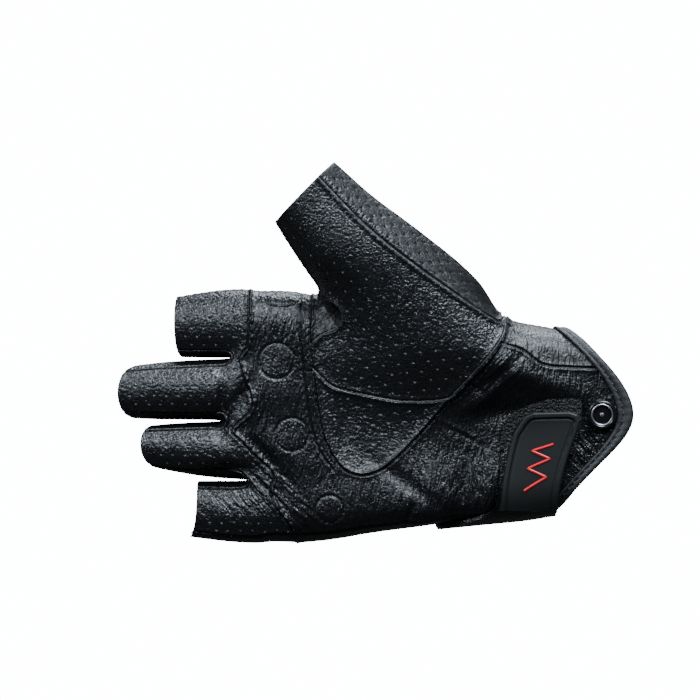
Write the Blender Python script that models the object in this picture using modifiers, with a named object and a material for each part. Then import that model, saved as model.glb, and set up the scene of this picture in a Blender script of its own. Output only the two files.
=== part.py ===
"""Right-hand fingerless riding glove in black leather, shown as worn, palm to the front.

Metres, +Z up. The wrist opening faces +X and the fingers point to -X, the palm faces -Y and the
thumb stands up towards +Z. The origin is the middle of the wrist opening.

The leather is one smooth form, drawn as a coarse cage and subdivided once. It is cut along its
edge lines and along seam curves into the panels that a glover would sew together.
"""
import math
from collections import Counter, namedtuple

import bmesh
import bpy
from mathutils import Matrix, Vector
from mathutils.bvhtree import BVHTree

# Main sizes of the glove
PALM_LENGTH = 0.121        # wrist opening to the roots of the fingers
PALM_WIDTH = 0.087         # thumb edge to little finger edge
PALM_DEPTH = 0.030         # palm to back of the hand
THUMB_LENGTH = 0.0435      # crotch to the outer corner of the thumb's cut edge, along Z
INDEX_LENGTH = 0.0242
MIDDLE_LENGTH = 0.0380
RING_LENGTH = 0.0325
LITTLE_LENGTH = 0.0218
INDEX_WIDTH = 0.0205
MIDDLE_WIDTH = 0.0180
RING_WIDTH = 0.0148
LITTLE_WIDTH = 0.0190
FINGER_DEPTH = 0.0180

# Leather, seams and trim
WALL = 0.0014              # leather with its lining
SEAM_GAP = 0.0003          # free gap between two panels, or between a piece and its seat
CORNER_GAP = 0.0006        # most that a panel is drawn in at a corner of its outline
WEB_GAP = 0.0008           # space between two neighbouring finger stalls
FIRST_RING = 0.0035        # first ring of a stall, in front of the finger roots
STALL_RING_STEP = 0.0125
ROUNDING = 1.07            # a subdivided ring draws in by this much
CUTTER_REACH = 0.080       # half length of a seam cutter, past the glove's front and back
HOLE_RADIUS = 0.00045      # punched holes
HOLE_PITCH = 0.0060        # along a row
HOLE_ROWS = 0.0072         # between two rows
HOLE_MARGIN = 0.0026       # plain leather along a seam
HOLE_SIDES = 4

BINDING_WIDTH = 0.0042
BINDING_THICKNESS = 0.0008
BINDING_CLEARANCE = 0.0005
PAD_RADIUS = 0.0058
PAD_HEIGHT = 0.0012
SEAT = 0.0005              # lift of one laid-on layer off the one below
LOOP_PAD_THICKNESS = 0.0009
STRAP_THICKNESS = 0.0015
LABEL_THICKNESS = 0.0020
MARK_RADIUS = 0.00045
SNAP_RADIUS = 0.0050
SNAP_HEIGHT = 0.0022
SNAP_CLEARANCE = 0.0006    # between the snap and the binding at the cuff's point

# The form's table of sections, from the finger roots (run 0) to the cuff (run 1). Heights are
# shares of PALM_WIDTH above the origin, depths are shares of PALM_DEPTH in front of or behind it.
Section = namedtuple(
    "Section",
    "run crest thumb_edge little_edge keel palm_thumb palm_mid palm_little back_thumb back_mid back_little",
)
SECTIONS = (
    Section(0.000, 0.520, 0.487, -0.455, -0.494, 0.40, 0.45, 0.40, 0.40, 0.47, 0.38),
    Section(0.070, 0.522, 0.490, -0.458, -0.500, 0.42, 0.46, 0.42, 0.43, 0.50, 0.42),
    Section(0.140, 0.522, 0.480, -0.458, -0.498, 0.43, 0.46, 0.45, 0.44, 0.52, 0.43),
    Section(0.215, 0.518, 0.410, -0.452, -0.486, 0.48, 0.43, 0.48, 0.44, 0.53, 0.44),
    Section(0.330, 0.500, 0.360, -0.425, -0.464, 0.66, 0.41, 0.51, 0.43, 0.54, 0.45),
    Section(0.450, 0.480, 0.335, -0.413, -0.441, 0.80, 0.43, 0.54, 0.43, 0.55, 0.46),
    Section(0.565, 0.460, 0.330, -0.400, -0.422, 0.87, 0.49, 0.57, 0.45, 0.56, 0.48),
    Section(0.680, 0.440, 0.335, -0.385, -0.405, 0.86, 0.56, 0.59, 0.47, 0.57, 0.50),
    Section(0.790, 0.420, 0.350, -0.368, -0.388, 0.78, 0.62, 0.61, 0.50, 0.58, 0.53),
    Section(0.890, 0.393, 0.345, -0.354, -0.376, 0.70, 0.65, 0.63, 0.53, 0.58, 0.56),
    Section(1.000, 0.368, 0.325, -0.325, -0.350, 0.65, 0.66, 0.65, 0.56, 0.58, 0.58),
)
THUMB_FIRST, THUMB_LAST = 3, 8      # rows of SECTIONS between which the thumb leaves the palm
COLUMNS = (0.0, 0.12, 0.255, 0.395, 0.52, 0.645, 0.77, 0.89, 1.0)
CORNER_DEPTH = 0.86                 # depth at the two edges, against the column beside them
ROOT_RIPPLE, RIPPLE_RUN = 0.06, 0.25    # the finger roots swell between the webs

# Distance of the finger roots and of the cuff from the origin, column by column, as shares of
# PALM_LENGTH towards the fingers. Columns 2, 4 and 6 are the webs.
ROOT_LINE = (0.980, 1.010, 1.050, 1.060, 1.075, 1.040, 1.000, 0.965, 0.935)
CUFF_PALM = (0.070, 0.012, -0.042, -0.076, -0.078, -0.038, 0.022, 0.075, 0.122)
CUFF_BACK = (0.090, 0.050, 0.020, 0.000, -0.005, 0.005, 0.035, 0.080, 0.115)
CUFF_THUMB_SIDE, CUFF_LITTLE_SIDE = 0.110, 0.130

# The stalls. Their cut ends step back at the sides, and the back may run on past the front.
Finger = namedtuple("Finger", "name length width centre end_depth thumb_notch little_notch back_extra")
FINGERS = (
    Finger("index", INDEX_LENGTH, INDEX_WIDTH, 0.368, -0.03, 0.04, 0.13, 0.00),
    Finger("middle", MIDDLE_LENGTH, MIDDLE_WIDTH, 0.112, -0.06, 0.22, 0.20, 0.00),
    Finger("ring", RING_LENGTH, RING_WIDTH, -0.108, -0.06, 0.14, 0.30, -0.05),
    Finger("little", LITTLE_LENGTH, LITTLE_WIDTH, -0.352, -0.04, 0.02, -0.18, 0.02),
)
CORNER_NOTCH = 0.25        # the corners of a cut end step back by this share of the side's notch
# Ring of a stall, in half widths towards the thumb and half depths towards the back
STALL_RING = (
    (0.85, -0.68), (0.0, -1.0), (-0.85, -0.68), (-1.0, 0.0),
    (-0.85, 0.68), (0.0, 1.0), (0.85, 0.68), (1.0, 0.0),
)

# The thumb's rings, from the one after its root to the cut edge. Near is the side of the crotch,
# far the outer side. Reaches are shares of PALM_LENGTH, rises are shares of THUMB_LENGTH above
# the crotch, and depths are shares of PALM_DEPTH. The ridge is the seam that divides the palm
# side from the outer side, as a share of the way from near to far.
ThumbRing = namedtuple("ThumbRing", "near_reach near_rise far_reach far_rise palm back ridge")
THUMB_RINGS = (
    ThumbRing(0.808, 0.048, 0.306, 0.063, -0.88, 0.36, 0.68),
    ThumbRing(0.835, 0.151, 0.433, 0.345, -0.93, 0.18, 0.65),
    ThumbRing(0.863, 0.270, 0.543, 0.575, -0.94, 0.04, 0.64),
    ThumbRing(0.895, 0.405, 0.652, 0.792, -0.92, -0.04, 0.68),
    ThumbRing(0.923, 0.532, 0.747, 1.029, -0.90, -0.11, 0.70),
)
CROTCH_HEIGHT = 0.512               # share of PALM_WIDTH
THUMB_PALM_SPREAD = (0.10, 0.32, 0.54, 0.72, 0.88, 1.0)     # points from near to the ridge
THUMB_PALM_SWELL = (0.66, 0.94, 1.0, 1.0, 0.98, 0.93)       # their share of the palm depth
THUMB_BACK_SPREAD = (0.08, 0.26, 0.44, 0.62, 0.78, 0.92)    # points from near to far
THUMB_BACK_SWELL = (0.60, 0.92, 1.0, 0.98, 0.88, 0.62)      # their share of the back depth

# Main folds of the leather: a ridge or valley on the palm, as a rounded bar. Places are shares
# of PALM_LENGTH and PALM_WIDTH, sizes are shares of PALM_WIDTH, height is a share of WALL.
Fold = namedtuple("Fold", "reach height_z turn_deg half_length half_width rise")
FOLDS = (
    Fold(0.330, 0.100, 35, 0.100, 0.030, 1.0),
    Fold(0.290, 0.030, 15, 0.090, 0.035, -1.1),
    Fold(0.240, 0.190, -40, 0.120, 0.035, 0.9),
    Fold(0.500, -0.300, 80, 0.160, 0.035, 0.7),
    Fold(0.400, -0.280, 80, 0.150, 0.030, -0.7),
    Fold(0.320, -0.260, 80, 0.140, 0.035, 0.8),
    Fold(1.020, 0.090, 60, 0.080, 0.030, -1.0),
    Fold(0.960, -0.130, -50, 0.090, 0.030, -1.0),
    Fold(0.720, 0.000, 85, 0.150, 0.040, -0.8),
)

# Padded discs pressed up in the leather over the joints
Pad = namedtuple("Pad", "reach height_z scale")
PADS = (Pad(0.906, 0.478, 1.0), Pad(0.920, 0.234, 1.0), Pad(0.877, -0.056, 0.95), Pad(0.771, -0.349, 0.8))

# Seam curves on the palm, as (share of PALM_LENGTH, share of PALM_WIDTH)
FINGER_SEAM = (
    (1.000, 0.58), (1.000, 0.405), (1.003, 0.298), (1.026, 0.246), (1.020, 0.194), (0.994, 0.095),
    (0.994, 0.040), (1.030, -0.010), (1.050, -0.040), (1.020, -0.083), (0.969, -0.155),
    (0.929, -0.214), (0.937, -0.278), (0.917, -0.353), (0.880, -0.421), (0.855, -0.540),
)
KNUCKLE_SEAM = ((0.823, 0.500), (0.826, 0.317), (0.817, 0.206))
THENAR_SEAM = (
    (0.771, 0.143), (0.729, 0.119), (0.657, 0.099), (0.571, 0.079), (0.486, 0.079), (0.429, 0.091),
)
TONGUE_SIDE = (
    (0.806, 0.079), (0.791, -0.040), (0.769, -0.119), (0.734, -0.187), (0.691, -0.214),
    (0.646, -0.206), (0.597, -0.167), (0.537, -0.087), (0.457, 0.040),
)
HEEL_SEAM = ((0.371, 0.179), (0.294, 0.306), (0.274, 0.377), (0.269, 0.476))
GUSSET_SEAM = (
    (0.777, 0.484), (0.743, 0.444), (0.734, 0.401), (0.751, 0.365), (0.794, 0.337), (0.823, 0.298),
)
WRIST_SEAM = ((0.229, 0.278), (0.171, 0.222), (0.100, 0.210), (0.023, 0.206))
# Face of the thumb that is pierced, between its cut edge, its ridge and the seams
THUMB_FACE = (
    (0.909, 0.786), (0.806, 0.929), (0.686, 0.786), (0.571, 0.655), (0.457, 0.516), (0.343, 0.389),
    (0.294, 0.329), (0.371, 0.179), *reversed(THENAR_SEAM), (0.817, 0.206), (0.826, 0.298),
    (0.734, 0.377), (0.729, 0.437), (0.786, 0.504), (0.857, 0.643),
)
SNAP_PLACE = (min(CUFF_PALM) + (BINDING_WIDTH + SNAP_CLEARANCE + SNAP_RADIUS) / PALM_LENGTH, 0.024)

# Bands round the wrist: turn 0 looks out of the palm, 90 at the little finger side, 180 at the
# back. Left and right are shares of PALM_LENGTH, the lifts of those edges are off the leather.
Row = namedtuple("Row", "turn left right left_lift right_lift")
ON_LEATHER = SEAT
ON_BINDING = BINDING_CLEARANCE + BINDING_THICKNESS + SEAT
ON_LOOP = ON_LEATHER + LOOP_PAD_THICKNESS + SEAT
ON_STRAP = ON_LOOP + STRAP_THICKNESS + SEAT
STRAP_EDGE = CUFF_LITTLE_SIDE + 0.002       # the strap's edge beside the cuff's free edge
LOOP_PAD = (
    Row(-21, 0.150, 0.066, ON_LEATHER, ON_LEATHER),
    Row(-17, 0.200, 0.060, ON_LEATHER, ON_LEATHER),
    Row(-10, 0.250, 0.060, ON_LEATHER, ON_LEATHER),
    Row(0, 0.276, 0.062, ON_LEATHER, ON_LEATHER),
    Row(14, 0.285, 0.072, ON_LEATHER, ON_LEATHER),
    Row(30, 0.290, 0.086, ON_LEATHER, ON_LEATHER),
)
STRAP = (
    Row(-5, 0.214, 0.094, ON_LOOP, ON_LOOP),
    Row(0, 0.240, 0.082, ON_LOOP, ON_LOOP),
    Row(10, 0.260, 0.090, ON_LOOP, ON_LOOP),
    Row(28, 0.276, 0.104, ON_LOOP, ON_LOOP),
    Row(40, 0.286, 0.116, ON_LOOP, ON_LOOP),
    Row(52, 0.294, 0.128, ON_LOOP, ON_LOOP),
    Row(60, 0.305, STRAP_EDGE, ON_LOOP, ON_LOOP),
    Row(67, 0.350, STRAP_EDGE, ON_LEATHER, ON_BINDING),
    Row(73, 0.400, STRAP_EDGE, ON_LEATHER, ON_BINDING),
    Row(79, 0.436, STRAP_EDGE, ON_LEATHER, ON_BINDING),
    Row(90, 0.462, STRAP_EDGE, ON_LEATHER, ON_BINDING),
    Row(102, 0.470, STRAP_EDGE, 1.5 * SEAT, ON_BINDING),
    Row(115, 0.470, STRAP_EDGE + 0.002, 1.5 * SEAT, ON_BINDING),
    Row(130, 0.462, STRAP_EDGE + 0.006, 1.5 * SEAT, ON_BINDING),
    Row(148, 0.450, STRAP_EDGE + 0.010, ON_LEATHER, ON_LEATHER),
    Row(166, 0.440, STRAP_EDGE + 0.014, ON_LEATHER, ON_LEATHER),
    Row(182, 0.430, STRAP_EDGE + 0.018, ON_LEATHER, ON_LEATHER),
)
LABEL = (
    Row(-9, 0.196, 0.096, ON_STRAP, ON_STRAP),
    Row(-6, 0.216, 0.072, ON_STRAP, ON_STRAP),
    Row(0, 0.230, 0.064, ON_STRAP, ON_STRAP),
    Row(12, 0.250, 0.075, ON_STRAP, ON_STRAP),
    Row(24, 0.260, 0.090, ON_STRAP, ON_STRAP),
    Row(38, 0.272, 0.108, ON_STRAP, ON_STRAP),
    Row(50, 0.284, 0.124, ON_STRAP, ON_STRAP),
    Row(58, 0.292, STRAP_EDGE, ON_STRAP, ON_STRAP),
)
BAND_STEPS = 4                      # faces across the loop pad and the label
STRAP_STEPS = 5                     # faces across the strap
BAND_TURN = 6.5                     # degrees of one face along a band
# A plain zigzag on the label
MarkPoint = namedtuple("MarkPoint", "turn reach")
MARK = (
    MarkPoint(20, 0.140), MarkPoint(26, 0.200), MarkPoint(31, 0.150),
    MarkPoint(38, 0.212), MarkPoint(42, 0.160), MarkPoint(49, 0.222),
)

# Turned profile of the snap fastener, from its middle to its base: (share of SNAP_RADIUS, share
# of SNAP_HEIGHT)
SOCKET_PROFILE = (
    (0.0, 0.62), (0.14, 0.62), (0.20, 0.50), (0.22, 0.26), (0.50, 0.26), (0.56, 0.80), (0.62, 0.92),
    (0.69, 0.80), (0.70, 0.0), (0.0, 0.0),
)
COLLAR_PROFILE = ((0.76, 0.86), (0.86, 1.0), (0.95, 0.86), (1.0, 0.55), (1.0, 0.0), (0.76, 0.0))
SNAP_SIDES = 18

FRONT, BACK, WEB_1, WEB_2, WEB_3, THUMB_OUTER = range(6)

for old in list(bpy.data.objects):
    bpy.data.objects.remove(old)
glove = bpy.data.collections.new("fingerless_glove")
cutters = bpy.data.collections.new("cutters")
bpy.context.scene.collection.children.link(glove)
bpy.context.scene.collection.children.link(cutters)


def material(name, color, roughness, metallic=0.0):
    made = bpy.data.materials.new(name)
    made.use_nodes = True
    shader = made.node_tree.nodes["Principled BSDF"]
    shader.inputs["Base Color"].default_value = (*color, 1.0)
    shader.inputs["Roughness"].default_value = roughness
    shader.inputs["Metallic"].default_value = metallic
    return made


smooth_leather = material("smooth_leather", (0.020, 0.021, 0.023), 0.42)
perforated_leather = material("perforated_leather", (0.026, 0.026, 0.027), 0.50)
binding_fabric = material("binding_fabric", (0.030, 0.031, 0.033), 0.75)
loop_fabric = material("loop_fabric", (0.012, 0.012, 0.013), 0.85)
label_rubber = material("label_rubber", (0.028, 0.030, 0.031), 0.55)
mark_rubber = material("mark_rubber", (0.70, 0.03, 0.05), 0.45)
snap_metal = material("snap_metal", (0.10, 0.10, 0.11), 0.25, 0.9)
snap_enamel = material("snap_enamel", (0.012, 0.012, 0.013), 0.35)


def named_object(name, data, collection, surface=None):
    made = bpy.data.objects.new(name, data)
    collection.objects.link(made)
    if surface:
        made.data.materials.clear()
        made.data.materials.append(surface)
    return made


def hide(obj):
    obj.hide_render = True
    obj.display_type = "WIRE"
    return obj


def mix(low, high, share):
    return low + (high - low) * share


def ease(share):
    share = min(max(share, 0.0), 1.0)
    return share * share * (3.0 - 2.0 * share)


def across(thumb_side, middle, little_side, share):
    """A depth that runs smoothly from the thumb side over the middle to the little finger side."""
    if share < 0.5:
        return mix(thumb_side, middle, ease(share * 2.0))
    return mix(middle, little_side, ease(share * 2.0 - 1.0))


class Cage:
    """Points and tagged faces of the glove's coarse control mesh."""

    def __init__(self):
        self.points = []
        self.faces = []
        self.tags = []

    def point(self, position):
        self.points.append(position)
        return len(self.points) - 1

    def ring(self, positions):
        return [self.point(p) for p in positions]

    def face(self, corners, tag):
        self.faces.append(corners)
        self.tags.append(tag)

    def join(self, first, second, tags):
        """Faces between two closed rings of the same count, one tag for each."""
        for i, tag in enumerate(tags):
            if tag is not None:
                j = (i + 1) % len(first)
                self.face((first[i], first[j], second[j], second[i]), tag)


KEEL, CREST = 9, 19                 # places in a palm ring of the two side points


def back_of(column):
    """Place in a palm ring of a column's point on the back of the hand."""
    return 18 - column


def palm_ring(row_number, section):
    """Twenty points round the hand: palm side, keel, back side, crest."""
    opening = THUMB_FIRST <= row_number <= THUMB_LAST
    inside = THUMB_FIRST < row_number < THUMB_LAST
    ripple = ROOT_RIPPLE * max(0.0, 1.0 - section.run / RIPPLE_RUN)
    palm, back = [], []
    for column, share in enumerate(COLUMNS):
        z = mix(section.thumb_edge, section.little_edge, share) * PALM_WIDTH
        swell = ripple if column % 2 else (-ripple if 0 < column < 8 else 0.0)
        edge = 1.0
        if column == 8:
            edge = CORNER_DEPTH
        elif column == 0 and not inside:
            edge = mix(CORNER_DEPTH, 1.0, 0.5) if opening else CORNER_DEPTH
        front_depth = across(section.palm_thumb, section.palm_mid, section.palm_little, share)
        back_depth = across(section.back_thumb, section.back_mid, section.back_little, share)
        front_x = -mix(ROOT_LINE[column], CUFF_PALM[column], section.run) * PALM_LENGTH
        back_x = -mix(ROOT_LINE[column], CUFF_BACK[column], section.run) * PALM_LENGTH
        palm.append(Vector((front_x, -(front_depth * edge + swell) * PALM_DEPTH, z)))
        back.append(Vector((back_x, (back_depth * edge + swell) * PALM_DEPTH, z)))
    crest_x = -mix(ROOT_LINE[0], CUFF_THUMB_SIDE, section.run) * PALM_LENGTH
    keel_x = -mix(ROOT_LINE[8], CUFF_LITTLE_SIDE, section.run) * PALM_LENGTH
    crest = Vector((crest_x, (palm[0].y + back[0].y) / 2, section.crest * PALM_WIDTH))
    keel = Vector((keel_x, (palm[8].y + back[8].y) / 2, section.keel * PALM_WIDTH))
    return [*palm, keel, *reversed(back), crest]


def build_palm(cage):
    rings = [cage.ring(palm_ring(k, section)) for k, section in enumerate(SECTIONS)]
    for k in range(len(rings) - 1):
        open_here = THUMB_FIRST <= k < THUMB_LAST
        tags = [FRONT] * 8 + [BACK] * 10 + ([None, None] if open_here else [BACK, FRONT])
        cage.join(rings[k], rings[k + 1], tags)
    return rings


def build_fingers(cage, root):
    """Four stalls on the first palm ring, with a web point between each two neighbours."""
    web_middle = [root[CREST]]
    for column in (2, 4, 6):
        middle = (cage.points[root[column]] + cage.points[root[back_of(column)]]) / 2
        web_middle.append(cage.point(middle))
    web_middle.append(root[KEEL])
    for f, finger in enumerate(FINGERS):
        columns = (2 * f, 2 * f + 1, 2 * f + 2)
        palm_side = [root[column] for column in columns]
        back_side = [root[back_of(column)] for column in reversed(columns)]
        loop = [*palm_side, web_middle[f + 1], *back_side, web_middle[f]]
        start = [cage.points[i] for i in loop]
        thumb_edge = min(start[0].z, start[7].z) if f else start[7].z
        little_edge = max(start[2].z, start[3].z) if f < 3 else start[3].z
        root_half = (thumb_edge - little_edge - (WEB_GAP if f else 0.0)) / 2
        root_centre = (thumb_edge + little_edge) / 2
        count = max(2, round(finger.length / STALL_RING_STEP))
        first_share = FIRST_RING / finger.length
        shares = [first_share] + [mix(first_share, 1.0, n / count) for n in range(1, count + 1)]
        side_tags = {
            "front": FRONT,
            "little": BACK if f == 3 else (WEB_1, WEB_2, WEB_3)[f],
            "back": BACK,
            "thumb": (None, WEB_1, WEB_2, WEB_3)[f],
        }
        tags = [side_tags["front"]] * 2 + [side_tags["little"]] * 2 + [side_tags["back"]] * 2
        tags += [BACK, FRONT] if f == 0 else [side_tags["thumb"]] * 2
        end_reach = -start[1].x + finger.length
        previous = loop
        for share in shares:
            narrowing = share * share
            half = mix(root_half, finger.width / 2, narrowing) * ROUNDING
            centre = mix(root_centre, finger.centre * PALM_WIDTH, narrowing)
            middle_y = mix((start[1].y + start[5].y) / 2, finger.end_depth * PALM_DEPTH, share)
            half_depth = mix((start[5].y - start[1].y) / 2, FINGER_DEPTH / 2, share) * ROUNDING
            ring = []
            for i, (u, v) in enumerate(STALL_RING):
                notch = finger.thumb_notch if u > 0.0 else finger.little_notch if u < 0.0 else 0.0
                reach = end_reach - notch * finger.length * (1.0 if abs(u) > 0.9 else CORNER_NOTCH)
                if v > 0.5:
                    reach += finger.back_extra * finger.length
                x = mix(start[i].x, -reach, share)
                ring.append(Vector((x, middle_y + v * half_depth, centre + u * half)))
            current = cage.ring(ring)
            cage.join(current, previous, tags)
            previous = current


def build_thumb(cage, rings):
    """The thumb leaves a long opening in the hand's upper side."""
    rows = range(THUMB_FIRST, THUMB_LAST + 1)
    loop = [rings[THUMB_FIRST][CREST], *[rings[k][0] for k in rows]]
    loop += [rings[THUMB_LAST][CREST], *[rings[k][back_of(0)] for k in reversed(rows)]]
    front_count = len(THUMB_PALM_SPREAD)
    tags = [FRONT] * front_count + [THUMB_OUTER] * (front_count + 2)
    previous = loop
    for row in THUMB_RINGS:
        near = Vector((-row.near_reach * PALM_LENGTH, 0, row.near_rise * THUMB_LENGTH))
        far = Vector((-row.far_reach * PALM_LENGTH, 0, row.far_rise * THUMB_LENGTH))
        for end in (near, far):
            end.z += CROTCH_HEIGHT * PALM_WIDTH
            end.y = (row.palm + row.back) / 2 * PALM_DEPTH
        half_depth = (row.back - row.palm) / 2 * PALM_DEPTH
        front = [
            near.lerp(far, spread * row.ridge) - Vector((0, half_depth * swell, 0))
            for spread, swell in zip(THUMB_PALM_SPREAD, THUMB_PALM_SWELL)
        ]
        back = [
            near.lerp(far, spread) + Vector((0, half_depth * swell, 0))
            for spread, swell in zip(THUMB_BACK_SPREAD, THUMB_BACK_SWELL)
        ]
        current = cage.ring([near, *front, far, *reversed(back)])
        cage.join(previous, current, tags)
        previous = current


def relief(point):
    """Height of the palm's folds and padded discs at a point."""
    rise = 0.0
    for pad in PADS:
        offset_x = point.x + pad.reach * PALM_LENGTH
        offset_z = point.z - pad.height_z * PALM_WIDTH
        share = math.hypot(offset_x, offset_z) / (PAD_RADIUS * pad.scale)
        rise += PAD_HEIGHT * (1.0 - ease(share / 1.3))
    for fold in FOLDS:
        offset_x = point.x + fold.reach * PALM_LENGTH
        offset_z = point.z - fold.height_z * PALM_WIDTH
        turn = math.radians(fold.turn_deg)
        along = (offset_x * math.cos(turn) + offset_z * math.sin(turn)) / (fold.half_length * PALM_WIDTH)
        beside = (offset_z * math.cos(turn) - offset_x * math.sin(turn)) / (fold.half_width * PALM_WIDTH)
        rise += fold.rise * WALL * math.exp(-along * along - beside * beside)
    return rise


def build_form():
    """The glove's outer face as one open surface, subdivided once and folded."""
    cage = Cage()
    rings = build_palm(cage)
    build_fingers(cage, rings[0])
    build_thumb(cage, rings)
    mesh = bpy.data.meshes.new("glove_cage")
    mesh.from_pydata(cage.points, [], cage.faces)
    mesh.polygons.foreach_set("material_index", cage.tags)
    for _ in range(6):
        mesh.materials.append(smooth_leather)
    coarse = named_object("glove_cage", mesh, cutters)
    smoothing = coarse.modifiers.new("smooth", "SUBSURF")
    smoothing.levels = smoothing.render_levels = 1
    hide(coarse)
    bpy.context.view_layer.update()
    graph = bpy.context.evaluated_depsgraph_get()
    fine = bpy.data.meshes.new_from_object(coarse.evaluated_get(graph))
    normals = [vertex.normal.copy() for vertex in fine.vertices]
    for vertex, normal in zip(fine.vertices, normals):
        if normal.y < 0.0:
            vertex.co = vertex.co + normal * relief(vertex.co) * -normal.y
    fine.update()
    return fine


form = build_form()
form_points = [vertex.co.copy() for vertex in form.vertices]
form_normals = [vertex.normal.copy() for vertex in form.vertices]
form_faces = [tuple(polygon.vertices) for polygon in form.polygons]
form_tags = [polygon.material_index for polygon in form.polygons]
surface = BVHTree.FromPolygons(form_points, form_faces)


def edges_of(face):
    return [(face[i], face[(i + 1) % len(face)]) for i in range(len(face))]


def sorted_edge(edge):
    return tuple(sorted(edge))


form_edge_count = Counter(sorted_edge(edge) for face in form_faces for edge in edges_of(face))


def leather_shell(name, tag):
    """A mesh of one wall: the tagged faces of the form, drawn in at their seams, with thickness.

    The inner face follows the whole form's normals, so two walls that meet at a seam keep the
    same gap right through.
    """
    faces = [face for face, own_tag in zip(form_faces, form_tags) if own_tag == tag]
    own_count = Counter(sorted_edge(edge) for face in faces for edge in edges_of(face))
    drawn_in, touching = {}, Counter()
    for face in faces:
        centre = sum((form_points[i] for i in face), Vector()) / len(face)
        for edge in edges_of(face):
            at_seam = own_count[sorted_edge(edge)] == 1 and form_edge_count[sorted_edge(edge)] == 2
            if not at_seam:
                continue
            start, end = (form_points[i] for i in edge)
            along = (end - start).normalized()
            inward = (centre - start) - along * (centre - start).dot(along)
            for i in edge:
                drawn_in[i] = drawn_in.get(i, Vector()) + inward.normalized()
                touching[i] += 1
    used = sorted({i for face in faces for i in face})
    number = {i: n for n, i in enumerate(used)}
    outer, inner = [], []
    for i in used:
        shift = Vector()
        if i in drawn_in:
            reach = touching[i] / drawn_in[i].length_squared * SEAM_GAP / 2
            shift = drawn_in[i] * min(reach, CORNER_GAP / drawn_in[i].length)
        outer.append(form_points[i] + shift)
        inner.append(form_points[i] + shift - form_normals[i] * WALL)
    count = len(used)
    all_faces = []
    for face in faces:
        all_faces.append(tuple(number[i] for i in face))
        all_faces.append(tuple(number[i] + count for i in reversed(face)))
        for a, b in edges_of(face):
            if own_count[sorted_edge((a, b))] == 1:
                corners = (number[b], number[a], number[a] + count, number[b] + count)
                if a < b:
                    all_faces += [(corners[0], corners[1], corners[3]), corners[1:]]
                else:
                    all_faces += [corners[:3], (corners[0], corners[2], corners[3])]
    mesh = bpy.data.meshes.new(name)
    mesh.from_pydata([*outer, *inner], [], all_faces)
    mesh.update()
    return mesh


def outline_place(place):
    """A seam point as (x, z) in metres."""
    reach, height = place
    return -reach * PALM_LENGTH, height * PALM_WIDTH


def seam_cutter(name, smooth_points, corner_points, grow=0.0):
    """A prism through the glove from front to back: a smooth seam closed by straight sides."""
    data = bpy.data.curves.new(name, "CURVE")
    data.dimensions = "2D"
    data.fill_mode = "BOTH"
    data.extrude = CUTTER_REACH
    data.resolution_u = 2
    spline = data.splines.new("BEZIER")
    places = [*smooth_points, *corner_points]
    spline.bezier_points.add(len(places) - 1)
    for n, (knot, place) in enumerate(zip(spline.bezier_points, places)):
        knot.co = (*outline_place(place), 0.0)
        kind = "AUTO" if 0 < n < len(smooth_points) - 1 else "VECTOR"
        knot.handle_left_type = knot.handle_right_type = kind
    spline.use_cyclic_u = True
    data.offset = grow
    drawn = named_object(name + "_outline", data, cutters)
    drawn.rotation_euler = (math.pi / 2, 0.0, 0.0)
    bpy.context.view_layer.update()
    graph = bpy.context.evaluated_depsgraph_get()
    mesh = bpy.data.meshes.new_from_object(drawn.evaluated_get(graph))
    mesh.transform(drawn.matrix_world)
    bpy.data.objects.remove(drawn)
    welded = bmesh.new()
    welded.from_mesh(mesh)
    bmesh.ops.remove_doubles(welded, verts=welded.verts, dist=1e-6)
    bmesh.ops.recalc_face_normals(welded, faces=welded.faces)
    welded.to_mesh(mesh)
    welded.free()
    return hide(named_object(name, mesh, cutters))


def cut(obj, operation, cutter):
    modifier = obj.modifiers.new(operation.lower(), "BOOLEAN")
    modifier.operation = operation
    modifier.object = cutter
    return obj


SEAMS = {
    "finger": (FINGER_SEAM, ((1.60, -0.540), (1.60, 0.58))),
    "thumb": (
        (*KNUCKLE_SEAM, *THENAR_SEAM, *HEEL_SEAM),
        ((0.250, 0.600), (0.250, 1.350), (0.985, 1.350), (0.985, 0.820), (0.835, 0.530)),
    ),
    "tongue": ((KNUCKLE_SEAM[-1], *TONGUE_SIDE, THENAR_SEAM[-1]), tuple(reversed(THENAR_SEAM[:-1]))),
    "gusset": (((0.800, 0.540), *GUSSET_SEAM), ((0.826, 0.317), (0.823, 0.500))),
    "wrist": (((0.294, 0.306), *WRIST_SEAM, (-0.20, 0.206)), ((-0.20, 0.60), (0.269, 0.60), (0.274, 0.377))),
}
seam = {name: seam_cutter("seam_" + name, *outline) for name, outline in SEAMS.items()}
wide_seam = {
    name: seam_cutter("wide_seam_" + name, *outline, grow=SEAM_GAP) for name, outline in SEAMS.items()
}


def well_inside(x, z, outline):
    """Whether a point of the palm lies within a closed outline, clear of its edge."""
    places = [outline_place(place) for place in outline]
    inside = False
    for (ax, az), (bx, bz) in zip(places, places[1:] + places[:1]):
        if (az > z) != (bz > z) and x < ax + (z - az) * (bx - ax) / (bz - az):
            inside = not inside
        side = Vector((bx - ax, bz - az))
        share = ((x - ax) * side.x + (z - az) * side.y) / side.length_squared
        share = min(max(share, 0.0), 1.0)
        if math.hypot(x - ax - share * side.x, z - az - share * side.y) < HOLE_MARGIN:
            return False
    return inside


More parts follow.
